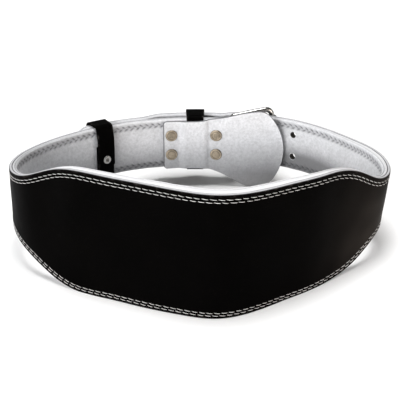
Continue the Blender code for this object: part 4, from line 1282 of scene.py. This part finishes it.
def sliding_keeper():
    """The loose keeper, whose ends lap on the inside, and the ring-shaped rivet through them."""
    inside = -NARROW_THICKNESS - 2 * GAP - KEEPER_RIVET_BACK_RISE
    over_out = inside - KEEPER_LEATHER * 1.5 - GAP
    ease = KEEPER_ROUND + 2 * KEEPER_LEATHER
    loop = keeper_loop(inside, LAP_LIFT + 2 * GAP, NARROW_HEIGHT / 2 + KEEPER_HEADROOM)
    tail = [(over_out, LAP_TOP + ease), (over_out, LAP_TOP), (over_out, LAP_END)]
    path = np.concatenate([[(inside - KEEPER_LEATHER / 2, LAP_TOP)], loop, tail])
    mesh = keeper_band("keeper_loose", path, SLIDING_KEEPER_X, SLIDING_KEEPER_WIDTH, False)
    place("keeper_loose", mesh, BLACK, "black_leather", "keeper_sliding")

    axis = outward(turn_at(SLIDING_KEEPER_X))
    seat = wall_point(turn_at(SLIDING_KEEPER_X), over_out - KEEPER_LEATHER / 2, KEEPER_RIVET_UP)
    depth = 2 * KEEPER_LEATHER + 2 * GAP
    cap, eye, post = KEEPER_RIVET_CAP / 2, KEEPER_RIVET_EYE / 2, KEEPER_RIVET_POST / 2
    rise, top, back = KEEPER_RIVET_RISE, GAP + KEEPER_RIVET_RISE, KEEPER_RIVET_CAP * 0.4
    profile = [
        (radius * share, top - rise * below, pit)
        for radius, table in ((eye, RING_EYE), (cap, RING_CAP))
        for share, below, pit in table
    ]
    profile += [(cap, GAP + 0.0002, 0.6), (cap * 0.98, GAP, 0.9), (post, GAP, 1.0), (post, -depth, 1.0)]
    profile += [(back, -depth, 0.5)]
    profile += [(radius, -depth - KEEPER_RIVET_BACK_RISE, 0.0) for radius in (back * 0.9, 0)]
    mesh = lathe("ring_rivet", profile)
    place("ring_rivet", mesh, STEEL, "nickel_steel", "keeper_rivet", at=aimed(seat, -axis))


# The studio
def floor():
    """A round sheet of pale paper that sweeps up far behind the belt on every side."""
    sweep = arc((FLOOR_REACH, FLOOR_SWEEP), FLOOR_SWEEP, -90, 0, 12)
    profile = np.concatenate([[(0.001, 0)], sweep])
    angles = np.linspace(0, TAU, 96, endpoint=False)
    rings = np.stack([profile[:, :1] * np.cos(angles), profile[:, :1] * np.sin(angles)], axis=-1)
    rings = np.concatenate([rings, np.broadcast_to(profile[:, 1:, None], (*rings.shape[:2], 1))], axis=-1)
    rows, columns = rings.shape[:2]
    faces = [tuple(range(columns))]
    for i in range(rows - 1):
        for j in range(columns):
            k = (j + 1) % columns
            faces.append((i * columns + j, (i + 1) * columns + j, (i + 1) * columns + k, i * columns + k))
    mesh = bpy.data.meshes.new("studio_floor")
    mesh.from_pydata(rings.reshape(-1, 3).tolist(), [], faces)
    mesh.shade_smooth()
    look = Look("studio_floor", 0.9, Specular_IOR_Level=0.1)
    look.set("Base Color", look.mixed(look.noise(3, 2), (0.84, 0.84, 0.84), (0.86, 0.86, 0.86)))
    mesh.materials.append(look.material)
    link(bpy.data.objects.new("studio_floor", mesh))


def softbox(name, where, target, width, height, power, colour=(1, 1, 1)):
    light = bpy.data.lights.new(name, "AREA")
    light.shape, light.size, light.size_y = "RECTANGLE", width, height
    light.energy, light.color = power, colour
    lamp = link(bpy.data.objects.new(name, light))
    lamp.visible_camera = False
    lamp.location = where
    lamp.rotation_mode = "QUATERNION"
    lamp.rotation_quaternion = (Vector(target) - Vector(where)).to_track_quat("-Z", "Y")


def studio():
    floor()
    world = bpy.data.worlds.new("studio")
    world.use_nodes = True
    world.node_tree.nodes["Background"].inputs["Color"].default_value = (1, 1, 1, 1)
    world.node_tree.nodes["Background"].inputs["Strength"].default_value = 0.05
    bpy.context.scene.world = world
    softbox("overhead", (0.0, 0.30, 4.0), (0, 0.1, 0), 2.0, 2.0, 185)
    softbox("front", (-1.50, -1.90, 0.82), (0, 0.1, 0.05), 1.9, 0.58, 85)
    softbox("right", (1.30, -0.75, 0.20), (0.10, -0.04, 0.03), 0.30, 0.30, 10.0, (1.0, 0.88, 0.78))
    bpy.context.scene.view_settings.view_transform = "Standard"


def camera():
    data = bpy.data.cameras.new("camera")
    data.lens, data.sensor_width = CAMERA_LENS, 36
    data.clip_start, data.clip_end = 0.01, 50
    seen = link(bpy.data.objects.new("camera", data))
    look_down = Matrix.Rotation(math.radians(90 - CAMERA_PITCH), 4, "X")
    seen.matrix_world = REST @ Matrix.Translation(CAMERA_PLACE) @ look_down
    bpy.context.scene.camera = seen


camera()
studio()
leather_strip()
padded_lining()
edge_stitching()
buckle_guard()
cap_rivets()
folded_strap()
wire_frame()
roller_tube()
prongs()
fixed_keeper()
sliding_keeper()
